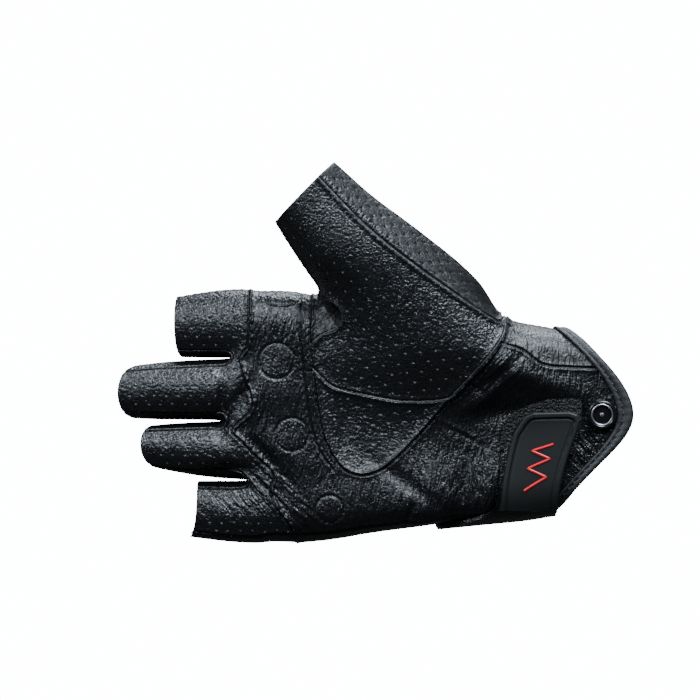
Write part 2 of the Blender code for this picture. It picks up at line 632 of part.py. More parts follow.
def hole_cutter(name, outline):
    """Prisms for the punched holes within an outline, in staggered rows along X."""
    places = [outline_place(place) for place in outline]
    low_x, high_x = min(x for x, z in places), max(x for x, z in places)
    low_z, high_z = min(z for x, z in places), max(z for x, z in places)
    holes = bmesh.new()
    row = 0
    while low_z + row * HOLE_ROWS < high_z:
        z = low_z + row * HOLE_ROWS
        x = low_x + HOLE_PITCH / 2 * (row % 2)
        while x < high_x:
            if well_inside(x, z, outline):
                made = bmesh.ops.create_cone(
                    holes, cap_ends=True, segments=HOLE_SIDES,
                    radius1=HOLE_RADIUS, radius2=HOLE_RADIUS, depth=CUTTER_REACH,
                )
                bmesh.ops.rotate(holes, verts=made["verts"], matrix=Matrix.Rotation(math.pi / 2, 3, "X"))
                bmesh.ops.translate(holes, verts=made["verts"], vec=(x, -CUTTER_REACH / 2, z))
            x += HOLE_PITCH
        row += 1
    mesh = bpy.data.meshes.new(name)
    holes.to_mesh(mesh)
    holes.free()
    return hide(named_object(name, mesh, cutters))


# Leather panels
front_mesh = leather_shell("front_shell", FRONT)


def front_panel(name, leather, inside, outside):
    panel = named_object(name, front_mesh.copy(), glove, leather)
    if inside:
        cut(panel, "INTERSECT", seam[inside])
    for other in outside:
        cut(panel, "DIFFERENCE", wide_seam[other])
    return panel


front_panel("finger_panel", perforated_leather, "finger", [])
thumb_panel = front_panel("thumb_panel", perforated_leather, "thumb", ["gusset", "tongue"])
cut(thumb_panel, "DIFFERENCE", hole_cutter("thumb_holes", THUMB_FACE))
palm_tongue = front_panel("palm_tongue", perforated_leather, "tongue", [])
tongue_outline = (*TONGUE_SIDE, *reversed(THENAR_SEAM))
cut(palm_tongue, "DIFFERENCE", hole_cutter("tongue_holes", tongue_outline))
front_panel("crotch_gusset", smooth_leather, "gusset", [])
front_panel("wrist_gusset", smooth_leather, "wrist", ["thumb"])
front_panel("palm_leather", smooth_leather, None, ["finger", "thumb", "tongue", "gusset", "wrist"])
for part_name, part_tag, leather in (
    ("back_leather", BACK, smooth_leather),
    ("fourchette_index_middle", WEB_1, smooth_leather),
    ("fourchette_middle_ring", WEB_2, smooth_leather),
    ("fourchette_ring_little", WEB_3, smooth_leather),
    ("thumb_outer", THUMB_OUTER, perforated_leather),
):
    named_object(part_name, leather_shell(part_name, part_tag), glove, leather)


def on_palm(place):
    """The point of the leather's face that shows at a place of the palm, and its normal."""
    x, z = outline_place(place)
    hit, normal, _, _ = surface.ray_cast(Vector((x, -CUTTER_REACH, z)), Vector((0, 1, 0)))
    if normal.y > 0.0:
        normal = -normal
    return hit, normal


def stand_on(obj, place, lift):
    """Sets a piece that was made round +Z on the palm, with its base a little off the leather."""
    hit, normal = on_palm(place)
    obj.rotation_mode = "QUATERNION"
    obj.rotation_quaternion = normal.to_track_quat("Z", "Y")
    obj.location = hit + normal * lift


def cuff_loop():
    """The form's free edge at the wrist, in order round the opening."""
    free = [edge for edge, count in form_edge_count.items() if count == 1]
    after = {}
    for a, b in free:
        if form_points[a].x > -CUFF_THUMB_SIDE * 1.6 * PALM_LENGTH:
            after.setdefault(a, []).append(b)
            after.setdefault(b, []).append(a)
    start = min(after)
    loop, previous = [start], None
    while True:
        step = next(i for i in after[loop[-1]] if i != previous)
        if step == start:
            return loop
        previous = loop[-1]
        loop.append(step)


def cuff_binding():
    """A folded band round the wrist edge: a U section that holds the leather between its legs."""
    loop = cuff_loop()
    inner_neighbour = {}
    for face in form_faces:
        for a, b in edges_of(face):
            for here, there in ((a, b), (b, a)):
                if here in loop and there not in loop:
                    inner_neighbour[here] = there
    clear, thick = BINDING_CLEARANCE, BINDING_THICKNESS
    section = (
        (-BINDING_WIDTH, clear + thick), (clear + thick, clear + thick),
        (clear + thick, -WALL - clear - thick), (-BINDING_WIDTH, -WALL - clear - thick),
        (-BINDING_WIDTH, -WALL - clear), (clear, -WALL - clear), (clear, clear), (-BINDING_WIDTH, clear),
    )
    points, faces = [], []
    for i in loop:
        normal = form_normals[i]
        outward = form_points[i] - form_points[inner_neighbour[i]]
        outward = (outward - normal * outward.dot(normal)).normalized()
        points += [form_points[i] + outward * a + normal * b for a, b in section]
    sides = len(section)
    for n in range(len(loop)):
        here, there = n * sides, (n + 1) % len(loop) * sides
        for s in range(sides):
            t = (s + 1) % sides
            faces.append((here + s, here + t, there + t, there + s))
    mesh = bpy.data.meshes.new("cuff_binding")
    mesh.from_pydata(points, [], faces)
    tidy = bmesh.new()
    tidy.from_mesh(mesh)
    bmesh.ops.recalc_face_normals(tidy, faces=tidy.faces)
    tidy.to_mesh(mesh)
    tidy.free()
    return named_object("cuff_binding", mesh, glove, binding_fabric)


cuff_binding()


def round_wrist(turn_deg, reach, lift):
    """A point above the leather, found by looking out from the wrist's middle line."""
    turn = math.radians(turn_deg)
    start = Vector((-reach * PALM_LENGTH, 0.0, 0.0))
    hit, normal, _, _ = surface.ray_cast(start, Vector((0.0, -math.cos(turn), -math.sin(turn))))
    outward = hit - start
    if normal.dot(outward) < 0.0:
        normal = -normal
    return hit + normal.lerp(outward.normalized(), 0.5).normalized() * lift


def wrapped_band(name, rows, thickness, surface_material, steps=BAND_STEPS):
    """A band laid round the wrist over the rows of a table, with thickness outwards."""
    fine_rows = [rows[0]]
    for row, following in zip(rows, rows[1:]):
        parts = math.ceil((following.turn - row.turn) / BAND_TURN)
        for part in range(1, parts + 1):
            fine_rows.append(Row(*(mix(a, b, part / parts) for a, b in zip(row, following))))
    points, faces = [], []
    for row in fine_rows:
        for step in range(steps + 1):
            share = step / steps
            reach, lift = mix(row.left, row.right, share), mix(row.left_lift, row.right_lift, share)
            points.append(round_wrist(row.turn, reach, lift))
    width = steps + 1
    for r in range(len(fine_rows) - 1):
        for step in range(steps):
            a = r * width + step
            faces.append((a, a + 1, a + 1 + width, a + width))
    mesh = bpy.data.meshes.new(name)
    mesh.from_pydata(points, [], faces)
    band = named_object(name, mesh, glove, surface_material)
    mesh.update()
    if mesh.polygons[0].normal.y > 0.0:
        mesh.flip_normals()
    thicken = band.modifiers.new("thickness", "SOLIDIFY")
    thicken.thickness = thickness
    thicken.offset = 1.0
    thicken.use_even_offset = True
    return band


wrapped_band("strap_loop_pad", LOOP_PAD, LOOP_PAD_THICKNESS, loop_fabric)
wrapped_band("wrist_strap", STRAP, STRAP_THICKNESS, smooth_leather, STRAP_STEPS)
wrapped_band("strap_label", LABEL, LABEL_THICKNESS, label_rubber)


def zigzag_mark():
    data = bpy.data.curves.new("label_mark", "CURVE")
    data.dimensions = "3D"
    data.bevel_depth = MARK_RADIUS
    data.bevel_resolution = 1
    data.use_fill_caps = True
    spline = data.splines.new("POLY")
    spline.points.add(len(MARK) - 1)
    lift = ON_STRAP + LABEL_THICKNESS + SEAT + MARK_RADIUS
    for knot, (turn, reach) in zip(spline.points, MARK):
        knot.co = (*round_wrist(turn, reach, lift), 1.0)
    return named_object("label_mark", data, glove, mark_rubber)


zigzag_mark()


def turned(name, profile, surface_material):
    """A turned piece round +Z."""
    closed = profile[0][0] > 0.0
    points = [(r * SNAP_RADIUS, 0.0, h * SNAP_HEIGHT) for r, h in profile]
    edges = [(n, n + 1) for n in range(len(points) - 1)]
    if closed:
        edges.append((len(points) - 1, 0))
    mesh = bpy.data.meshes.new(name)
    mesh.from_pydata(points, edges, [])
    piece = named_object(name, mesh, glove, surface_material)
    screw = piece.modifiers.new("turn", "SCREW")
    screw.steps = screw.render_steps = SNAP_SIDES
    screw.use_merge_vertices = True
    screw.merge_threshold = 0.00001
    return piece


stand_on(turned("snap_collar", COLLAR_PROFILE, snap_enamel), SNAP_PLACE, SEAM_GAP * 2)
stand_on(turned("snap_socket", SOCKET_PROFILE, snap_metal), SNAP_PLACE, SEAM_GAP * 2)
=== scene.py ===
import math
from collections import namedtuple

import bpy
import numpy as np
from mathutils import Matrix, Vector
from mathutils.bvhtree import BVHTree
from mathutils.kdtree import KDTree


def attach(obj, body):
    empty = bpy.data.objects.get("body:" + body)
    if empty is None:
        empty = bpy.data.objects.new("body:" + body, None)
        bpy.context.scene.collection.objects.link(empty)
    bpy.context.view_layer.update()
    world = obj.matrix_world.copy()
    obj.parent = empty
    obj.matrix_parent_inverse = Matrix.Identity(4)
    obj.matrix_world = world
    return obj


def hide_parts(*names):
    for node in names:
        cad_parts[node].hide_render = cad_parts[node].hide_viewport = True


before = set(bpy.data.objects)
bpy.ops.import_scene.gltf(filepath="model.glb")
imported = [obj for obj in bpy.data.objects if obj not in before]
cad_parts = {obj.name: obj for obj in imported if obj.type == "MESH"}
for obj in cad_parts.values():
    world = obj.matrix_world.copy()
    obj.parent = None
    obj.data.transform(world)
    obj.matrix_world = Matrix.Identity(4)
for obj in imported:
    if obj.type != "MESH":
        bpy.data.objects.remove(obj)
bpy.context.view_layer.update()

bpy.ops.object.select_all(action="DESELECT")

# Leather form
# One smooth body of the worn glove: a hand-shaped bag with four short stalls and a thumb. It is
# drawn as a coarse cage of sections, then subdivided; every leather panel is cut from it.
PALM_LENGTH = 0.121
PALM_WIDTH = 0.087
PALM_DEPTH = 0.030
THUMB_LENGTH = 0.0435
WEB_GAP = 0.0008
FIRST_RING = 0.0035
STALL_RING_STEP = 0.0125
ROUNDING = 1.07
Section = namedtuple(
    "Section",
    "run crest thumb_edge little_edge keel palm_thumb palm_mid palm_little back_thumb back_mid back_little",
)
SECTIONS = (
    Section(0.000, 0.520, 0.487, -0.455, -0.494, 0.40, 0.45, 0.40, 0.40, 0.47, 0.38),
    Section(0.070, 0.522, 0.490, -0.458, -0.500, 0.42, 0.46, 0.42, 0.43, 0.50, 0.42),
    Section(0.140, 0.522, 0.480, -0.458, -0.498, 0.43, 0.46, 0.45, 0.44, 0.52, 0.43),
    Section(0.215, 0.518, 0.410, -0.452, -0.486, 0.48, 0.43, 0.48, 0.44, 0.53, 0.44),
    Section(0.330, 0.500, 0.360, -0.425, -0.464, 0.66, 0.41, 0.51, 0.43, 0.54, 0.45),
    Section(0.450, 0.480, 0.335, -0.413, -0.441, 0.80, 0.43, 0.54, 0.43, 0.55, 0.46),
    Section(0.565, 0.460, 0.330, -0.400, -0.422, 0.87, 0.49, 0.57, 0.45, 0.56, 0.48),
    Section(0.680, 0.440, 0.335, -0.385, -0.405, 0.86, 0.56, 0.59, 0.47, 0.57, 0.50),
    Section(0.790, 0.420, 0.350, -0.368, -0.388, 0.78, 0.62, 0.61, 0.50, 0.58, 0.53),
    Section(0.890, 0.393, 0.345, -0.354, -0.376, 0.70, 0.65, 0.63, 0.53, 0.58, 0.56),
    Section(1.000, 0.368, 0.325, -0.325, -0.350, 0.65, 0.66, 0.65, 0.56, 0.58, 0.58),
)
THUMB_FIRST, THUMB_LAST = 3, 8
COLUMNS = (0.0, 0.12, 0.255, 0.395, 0.52, 0.645, 0.77, 0.89, 1.0)
CORNER_DEPTH = 0.86
ROOT_RIPPLE, RIPPLE_RUN = 0.06, 0.25
ROOT_LINE = (0.980, 1.010, 1.050, 1.060, 1.075, 1.040, 1.000, 0.965, 0.935)
CUFF_PALM = (0.070, 0.012, -0.042, -0.076, -0.078, -0.038, 0.022, 0.075, 0.122)
CUFF_BACK = (0.090, 0.050, 0.020, 0.000, -0.005, 0.005, 0.035, 0.080, 0.115)
CUFF_THUMB_SIDE, CUFF_LITTLE_SIDE = 0.110, 0.130
KEEL, CREST = 9, 19
Finger = namedtuple("Finger", "length width depth centre end_depth thumb_notch little_notch back_extra")
FINGERS = (
    Finger(0.0242, 0.0205, 0.0180, 0.368, -0.03, 0.04, 0.13, 0.00),
    Finger(0.0380, 0.0180, 0.0180, 0.112, -0.06, 0.22, 0.20, 0.00),
    Finger(0.0325, 0.0148, 0.0180, -0.108, -0.06, 0.14, 0.30, -0.05),
    Finger(0.0218, 0.0190, 0.0180, -0.352, -0.04, 0.02, -0.18, 0.02),
)
CORNER_NOTCH = 0.25
STALL_RING = (
    (0.85, -0.68), (0.0, -1.0), (-0.85, -0.68), (-1.0, 0.0),
    (-0.85, 0.68), (0.0, 1.0), (0.85, 0.68), (1.0, 0.0),
)
ThumbRing = namedtuple("ThumbRing", "near_reach near_rise far_reach far_rise palm back ridge")
THUMB_RINGS = (
    ThumbRing(0.808, 0.048, 0.306, 0.063, -0.88, 0.36, 0.68),
    ThumbRing(0.835, 0.151, 0.433, 0.345, -0.93, 0.18, 0.65),
    ThumbRing(0.863, 0.270, 0.543, 0.575, -0.94, 0.04, 0.64),
    ThumbRing(0.895, 0.405, 0.652, 0.792, -0.92, -0.04, 0.68),
    ThumbRing(0.923, 0.532, 0.747, 1.029, -0.90, -0.11, 0.70),
)
CROTCH_HEIGHT = 0.512
THUMB_PALM_SPREAD = (0.10, 0.32, 0.54, 0.72, 0.88, 1.0)
THUMB_PALM_SWELL = (0.66, 0.94, 1.0, 1.0, 0.98, 0.93)
THUMB_BACK_SPREAD = (0.08, 0.26, 0.44, 0.62, 0.78, 0.92)
THUMB_BACK_SWELL = (0.60, 0.92, 1.0, 0.98, 0.88, 0.62)
FRONT, BACK, WEB_1, WEB_2, WEB_3, THUMB_OUTER = PANEL_TAGS = range(6)
# The ring's back point that lies behind its first palm point
BACK_OF_FIRST = 18


def mix(low, high, share):
    return low + (high - low) * share


def ease(share):
    share = min(max(share, 0.0), 1.0)
    return share * share * (3.0 - 2.0 * share)


def across(thumb_side, middle, little_side, share):
    if share < 0.5:
        return mix(thumb_side, middle, ease(share * 2.0))
    return mix(middle, little_side, ease(share * 2.0 - 1.0))


cage_points, cage_faces, cage_tags = [], [], []


def add_ring(positions):
    start = len(cage_points)
    cage_points.extend(positions)
    return list(range(start, start + len(positions)))


def join_rings(first, second, tags):
    for i, tag in enumerate(tags):
        if tag is not None:
            j = (i + 1) % len(first)
            cage_faces.append((first[i], first[j], second[j], second[i]))
            cage_tags.append(tag)


palm_rings = []
for number, section in enumerate(SECTIONS):
    ripple = ROOT_RIPPLE * max(0.0, 1.0 - section.run / RIPPLE_RUN)
    palm, back = [], []
    for column, share in enumerate(COLUMNS):
        z = mix(section.thumb_edge, section.little_edge, share) * PALM_WIDTH
        swell = ripple if column % 2 else (-ripple if 0 < column < 8 else 0.0)
        edge = 1.0
        if column == 8:
            edge = CORNER_DEPTH
        elif column == 0 and not THUMB_FIRST < number < THUMB_LAST:
            edge = (1.0 + CORNER_DEPTH) / 2 if THUMB_FIRST <= number <= THUMB_LAST else CORNER_DEPTH
        front_depth = across(section.palm_thumb, section.palm_mid, section.palm_little, share)
        back_depth = across(section.back_thumb, section.back_mid, section.back_little, share)
        front_x = -mix(ROOT_LINE[column], CUFF_PALM[column], section.run) * PALM_LENGTH
        back_x = -mix(ROOT_LINE[column], CUFF_BACK[column], section.run) * PALM_LENGTH
        palm.append(Vector((front_x, -(front_depth * edge + swell) * PALM_DEPTH, z)))
        back.append(Vector((back_x, (back_depth * edge + swell) * PALM_DEPTH, z)))
    crest_x = -mix(ROOT_LINE[0], CUFF_THUMB_SIDE, section.run) * PALM_LENGTH
    keel_x = -mix(ROOT_LINE[8], CUFF_LITTLE_SIDE, section.run) * PALM_LENGTH
    crest = Vector((crest_x, (palm[0].y + back[0].y) / 2, section.crest * PALM_WIDTH))
    keel = Vector((keel_x, (palm[8].y + back[8].y) / 2, section.keel * PALM_WIDTH))
    palm_rings.append(add_ring([*palm, keel, *reversed(back), crest]))
for number in range(len(palm_rings) - 1):
    open_here = THUMB_FIRST <= number < THUMB_LAST
    side_tags = [None, None] if open_here else [BACK, FRONT]
    join_rings(palm_rings[number], palm_rings[number + 1], [FRONT] * 8 + [BACK] * 10 + side_tags)

root = palm_rings[0]
web_middle = [root[CREST]]
for column in (2, 4, 6):
    behind = root[BACK_OF_FIRST - column]
    web_middle += add_ring([(cage_points[root[column]] + cage_points[behind]) / 2])
web_middle.append(root[KEEL])
for f, finger in enumerate(FINGERS):
    columns = (2 * f, 2 * f + 1, 2 * f + 2)
    loop = [*(root[c] for c in columns), web_middle[f + 1]]
    loop += [*(root[BACK_OF_FIRST - c] for c in reversed(columns)), web_middle[f]]
    start = [cage_points[i] for i in loop]
    thumb_edge = min(start[0].z, start[7].z) if f else start[7].z
    little_edge = max(start[2].z, start[3].z) if f < 3 else start[3].z
    root_half = (thumb_edge - little_edge - (WEB_GAP if f else 0.0)) / 2
    root_centre = (thumb_edge + little_edge) / 2
    count = max(2, round(finger.length / STALL_RING_STEP))
    first_share = FIRST_RING / finger.length
    little_tag = BACK if f == 3 else (WEB_1, WEB_2, WEB_3)[f]
    thumb_tags = [BACK, FRONT] if f == 0 else [(None, WEB_1, WEB_2, WEB_3)[f]] * 2
    tags = [FRONT] * 2 + [little_tag] * 2 + [BACK] * 2 + thumb_tags
    for share in [first_share] + [mix(first_share, 1.0, n / count) for n in range(1, count + 1)]:
        narrowing = share * share
        half = mix(root_half, finger.width / 2, narrowing) * ROUNDING
        centre = mix(root_centre, finger.centre * PALM_WIDTH, narrowing)
        middle_y = mix((start[1].y + start[5].y) / 2, finger.end_depth * PALM_DEPTH, share)
        half_depth = mix((start[5].y - start[1].y) / 2, finger.depth / 2, share) * ROUNDING
        ring = []
        for i, (u, v) in enumerate(STALL_RING):
            notch = finger.thumb_notch if u > 0.0 else finger.little_notch if u < 0.0 else 0.0
            notch *= 1.0 if abs(u) > 0.9 else CORNER_NOTCH
            extra = finger.back_extra if v > 0.5 else 0.0
            reach = finger.length * (1.0 - notch + extra) - start[1].x
            x = mix(start[i].x, -reach, share)
            ring.append(Vector((x, middle_y + v * half_depth, centre + u * half)))
        current = add_ring(ring)
        join_rings(current, loop, tags)
        loop = current

rows = range(THUMB_FIRST, THUMB_LAST + 1)
loop = [palm_rings[THUMB_FIRST][CREST], *(palm_rings[k][0] for k in rows)]
loop += [palm_rings[THUMB_LAST][CREST], *(palm_rings[k][BACK_OF_FIRST] for k in reversed(rows))]
for row in THUMB_RINGS:
    ends = []
    for reach, rise in ((row.near_reach, row.near_rise), (row.far_reach, row.far_rise)):
        height = rise * THUMB_LENGTH + CROTCH_HEIGHT * PALM_WIDTH
        ends.append(Vector((-reach * PALM_LENGTH, (row.palm + row.back) / 2 * PALM_DEPTH, height)))
    near, far = ends
    half_depth = (row.back - row.palm) / 2 * PALM_DEPTH
    palm = [
        near.lerp(far, spread * row.ridge) - Vector((0, half_depth * swell, 0))
        for spread, swell in zip(THUMB_PALM_SPREAD, THUMB_PALM_SWELL)
    ]
    back = [
        near.lerp(far, spread) + Vector((0, half_depth * swell, 0))
        for spread, swell in zip(THUMB_BACK_SPREAD, THUMB_BACK_SWELL)
    ]
    current = add_ring([near, *palm, far, *reversed(back)])
    join_rings(loop, current, [FRONT] * 6 + [THUMB_OUTER] * 8)
    loop = current

cage_mesh = bpy.data.meshes.new("leather_cage")
cage_mesh.from_pydata(cage_points, [], cage_faces)
for _ in PANEL_TAGS:
    cage_mesh.materials.append(None)
cage_mesh.polygons.foreach_set("material_index", cage_tags)
RIDGE_CREASE = 0.75
beside_edge = {}
for face, tag in zip(cage_faces, cage_tags):
    for a, b in zip(face, (*face[1:], face[0])):
        beside_edge.setdefault((min(a, b), max(a, b)), set()).add(tag)
sharpness = cage_mesh.attributes.new("crease_edge", "FLOAT", "EDGE").data
for edge in cage_mesh.edges:
    if beside_edge[min(edge.vertices), max(edge.vertices)] == {FRONT, THUMB_OUTER}:
        sharpness[edge.index].value = RIDGE_CREASE
cage = bpy.data.objects.new("leather_cage", cage_mesh)
bpy.context.scene.collection.objects.link(cage)
smoothing = cage.modifiers.new("smooth", "SUBSURF")
Surface = namedtuple("Surface", "points normals faces tags")


def surface_of(level):
    """The form subdivided to a level, as arrays."""
    smoothing.levels = smoothing.render_levels = level
    bpy.context.view_layer.update()
    graph = bpy.context.evaluated_depsgraph_get()
    mesh = bpy.data.meshes.new_from_object(cage.evaluated_get(graph))
    points = np.empty(len(mesh.vertices) * 3)
    normals = np.empty(len(mesh.vertices) * 3)
    faces = np.empty(len(mesh.polygons) * 4, int)
    tags = np.empty(len(mesh.polygons), int)
    mesh.vertices.foreach_get("co", points)
    mesh.vertices.foreach_get("normal", normals)
    mesh.polygons.foreach_get("vertices", faces)
    mesh.polygons.foreach_get("material_index", tags)
    bpy.data.meshes.remove(mesh)
    return Surface(points.reshape(-1, 3), normals.reshape(-1, 3), faces.reshape(-1, 4), tags)


fine = surface_of(5)
medium = surface_of(4)
coarse = surface_of(3)
bpy.data.objects.remove(cage)

# Seams
# The panels are lapped or turned and sewn. Each seam is a smooth line on the palm, found on the
# form by looking straight in at the palm; the others run along the form's own edge lines.
SeamLine = namedtuple("SeamLine", "name places groove step step_side ridge pucker")
FINGER_SEAM = (
    (1.000, 0.58), (1.000, 0.405), (1.003, 0.298), (1.026, 0.246), (1.020, 0.194), (0.994, 0.095),
    (0.994, 0.040), (1.030, -0.010), (1.050, -0.040), (1.020, -0.083), (0.969, -0.155),
    (0.929, -0.214), (0.937, -0.278), (0.917, -0.353), (0.880, -0.421), (0.855, -0.540),
)
KNUCKLE_SEAM = ((0.823, 0.500), (0.826, 0.317), (0.817, 0.206))
THENAR_SEAM = (
    (0.771, 0.143), (0.729, 0.119), (0.657, 0.099), (0.571, 0.079), (0.486, 0.079), (0.429, 0.091),
)
TONGUE_SIDE = (
    (0.806, 0.079), (0.791, -0.040), (0.769, -0.119), (0.734, -0.187), (0.691, -0.214),
    (0.646, -0.206), (0.597, -0.167), (0.537, -0.087), (0.457, 0.040),
)
HEEL_SEAM = ((0.371, 0.179), (0.294, 0.306), (0.274, 0.377), (0.269, 0.476))
GUSSET_SEAM = (
    (0.777, 0.484), (0.743, 0.444), (0.734, 0.401), (0.751, 0.365), (0.794, 0.337), (0.823, 0.298),
)
WRIST_SEAM = ((0.229, 0.278), (0.171, 0.222), (0.100, 0.210), (0.023, 0.206))
KNUCKLE_ROW = (
    (0.851, 0.520), (0.851, 0.317), (0.843, 0.206), (0.834, 0.090), (0.818, -0.035),
    (0.797, -0.122), (0.757, -0.200),
)
ROW_SHIFT = 0.010
HEEL_ROW = tuple(
    (reach - ROW_SHIFT, height - ROW_SHIFT) for reach, height in (THENAR_SEAM[-1], *HEEL_SEAM[:3])
)


def place_on(place):
    return np.array((-place[0] * PALM_LENGTH, place[1] * PALM_WIDTH))


def smooth_line(places, spacing=0.00025):
    """A Catmull-Rom line through places of the palm, as (x, z) points."""
    knots = [place_on(place) for place in places]
    knots = [2 * knots[0] - knots[1], *knots, 2 * knots[-1] - knots[-2]]
    line = []
    for a, b, c, d in zip(knots, knots[1:], knots[2:], knots[3:]):
        for t in np.arange(0.0, 1.0, spacing / np.linalg.norm(c - b)):
            line.append(
                0.5 * (2 * b + (c - a) * t + (2 * a - 5 * b + 4 * c - d) * t**2
                       + (3 * b - a - 3 * c + d) * t**3)
            )
    return np.array([*line, knots[-2]])


look_in = BVHTree.FromPolygons(medium.points.tolist(), medium.faces.tolist())


def laid_on_palm(line):
    """The points of the form's palm side under a line, without those that miss it."""
    found = []
    for x, z in line:
        hit = look_in.ray_cast(Vector((x, -0.1, z)), Vector((0, 1, 0)))[0]
        if hit is not None:
            found.append(hit)
    return np.array(found)


TONGUE_LINE = (KNUCKLE_SEAM[-1], *TONGUE_SIDE, THENAR_SEAM[-1])
MM = 0.001
SEAM_LINES = (
    SeamLine("finger", FINGER_SEAM, 0.18, 0.25, 1, 0.10, 0.12),
    SeamLine("knuckle", KNUCKLE_SEAM, 0.25, 0.40, 1, 0.12, 0.08),
    SeamLine("knuckle_row", KNUCKLE_ROW, 0.12, 0.0, 1, 0.0, 0.05),
    SeamLine("tongue", TONGUE_LINE, 0.18, 0.50, 1, 0.10, 0.05),
    SeamLine("thenar", (KNUCKLE_SEAM[-1], *THENAR_SEAM), 0.15, 0.32, -1, 0.20, 0.0),
    SeamLine("heel", (THENAR_SEAM[-1], *HEEL_SEAM), 0.22, 0.55, -1, 0.15, 0.0),
    SeamLine("heel_row", HEEL_ROW, 0.12, 0.0, 1, 0.10, 0.0),
    SeamLine("gusset", GUSSET_SEAM, 0.25, 0.50, 1, 0.20, 0.10),
    SeamLine("wrist", (HEEL_SEAM[1], *WRIST_SEAM), 0.25, 0.0, 1, 0.15, 0.05),
)
seam_points = {line.name: laid_on_palm(smooth_line(line.places)) for line in SEAM_LINES}


def edges_of(faces):
    """The directed edges of four-sided faces."""
    return np.vstack([faces[:, [0, 1]], faces[:, [1, 2]], faces[:, [2, 3]], faces[:, [3, 0]]])


def walked_along(line):
    """How far each point lies along a line, from its start."""
    return np.concatenate([[0.0], np.cumsum(np.linalg.norm(np.diff(line, axis=0), axis=1))])


def tree_of(points):
    """A search tree over points."""
    tree = KDTree(len(points))
    for number, point in enumerate(points):
        tree.insert(point, number)
    tree.balance()
    return tree


def tag_edge(first, second):
    """The ordered points where faces of two tags meet on the form."""
    edges = {}
    for tag in (first, second):
        pairs = np.sort(edges_of(medium.faces[medium.tags == tag]))
        edges[tag] = set(map(tuple, pairs.tolist()))
    shared = edges[first] & edges[second]
    after = {}
    for a, b in shared:
        after.setdefault(a, []).append(b)
        after.setdefault(b, []).append(a)
    lines = []
    while after:
        ends = [i for i, near in after.items() if len(near) == 1]
        here = ends[0] if ends else next(iter(after))
        line = [here]
        while here in after and after[here]:
            following = after[here].pop()
            after[following].remove(here)
            if not after[here]:
                del after[here]
            here = following
            line.append(here)
        after.pop(here, None)
        lines.append(medium.points[line])
    return lines


EdgeSeam = namedtuple("EdgeSeam", "first second groove ridge pucker")
EDGE_SEAMS = (
    EdgeSeam(FRONT, THUMB_OUTER, 0.70, 0.55, 0.06),
    EdgeSeam(BACK, THUMB_OUTER, 0.25, 0.20, 0.05),
    EdgeSeam(FRONT, BACK, 0.25, 0.24, 0.06),
    *(EdgeSeam(side, web, 0.20, 0.14, 0.03) for side in (FRONT, BACK) for web in (WEB_1, WEB_2, WEB_3)),
)
edge_lines = {(seam.first, seam.second): tag_edge(seam.first, seam.second) for seam in EDGE_SEAMS}

STITCH_PITCH = 2.7
knots, rows_of_seam = [], []


def add_seam(points, groove, step, step_side, ridge, pucker):
    """Keeps a seam's points with their directions, its relief and the distance walked in mm."""
    walked = walked_along(points) / MM
    knots.append(np.hstack([points, np.gradient(points, axis=0)]))
    shape = np.tile((groove, step, step_side, ridge, pucker), (len(points), 1))
    rows_of_seam.append(np.hstack([shape, walked[:, None]]))


for line in SEAM_LINES:
    add_seam(seam_points[line.name], *line[2:])
for seam in EDGE_SEAMS:
    for points in edge_lines[seam.first, seam.second]:
        spots = np.linspace(0, len(points) - 1, len(points) * 3)
        dense = np.stack([np.interp(spots, range(len(points)), points[:, k]) for k in range(3)], 1)
        add_seam(dense, seam.groove, 0.0, 1, seam.ridge, seam.pucker)
knots = np.vstack(knots)
rows_of_seam = np.vstack(rows_of_seam)
seam_tree = tree_of(knots[:, :3])
# In millimetres from the seam's line
GROOVE_WIDTH = 0.50
ROLL_AT, ROLL_WIDTH = 1.15, 0.75
LAP_AT, LAP_FADE = 1.2, 2.2
LIP_AT, LIP_WIDTH, LIP_RISE = 0.60, 0.35, 0.30


def seam_relief(points, normals):
    """Height of grooves, laps and rolled edges beside the nearest seam, and its signed distance."""
    nearest = np.array([seam_tree.find(point)[1] for point in points])
    offset = points - knots[nearest, :3]
    distance = np.linalg.norm(offset, axis=1) / MM
    side_way = np.cross(normals, knots[nearest, 3:])
    side = np.sign(np.einsum("ij,ij->i", side_way, offset))
    groove, step, step_side, ridge, pucker, walked = rows_of_seam[nearest].T
    height = -groove * np.exp(-(distance / GROOVE_WIDTH) ** 2)
    beside = np.exp(-((distance - ROLL_AT) / ROLL_WIDTH) ** 2)
    height += beside * (ridge + pucker * np.cos(2 * math.pi * walked / STITCH_PITCH))
    lapped = (side * step_side) > 0
    lap = step * np.exp(-np.maximum(distance - LAP_AT, 0.0) / LAP_FADE)
    lip = LIP_RISE * (step > 0) * np.exp(-((distance - LIP_AT) / LIP_WIDTH) ** 2)
    height += np.where(lapped, lap, 0.0)
    height += np.where(lapped, lip, 0.0)
    return height * MM, distance * np.where(side < 0.0, -1.0, 1.0)


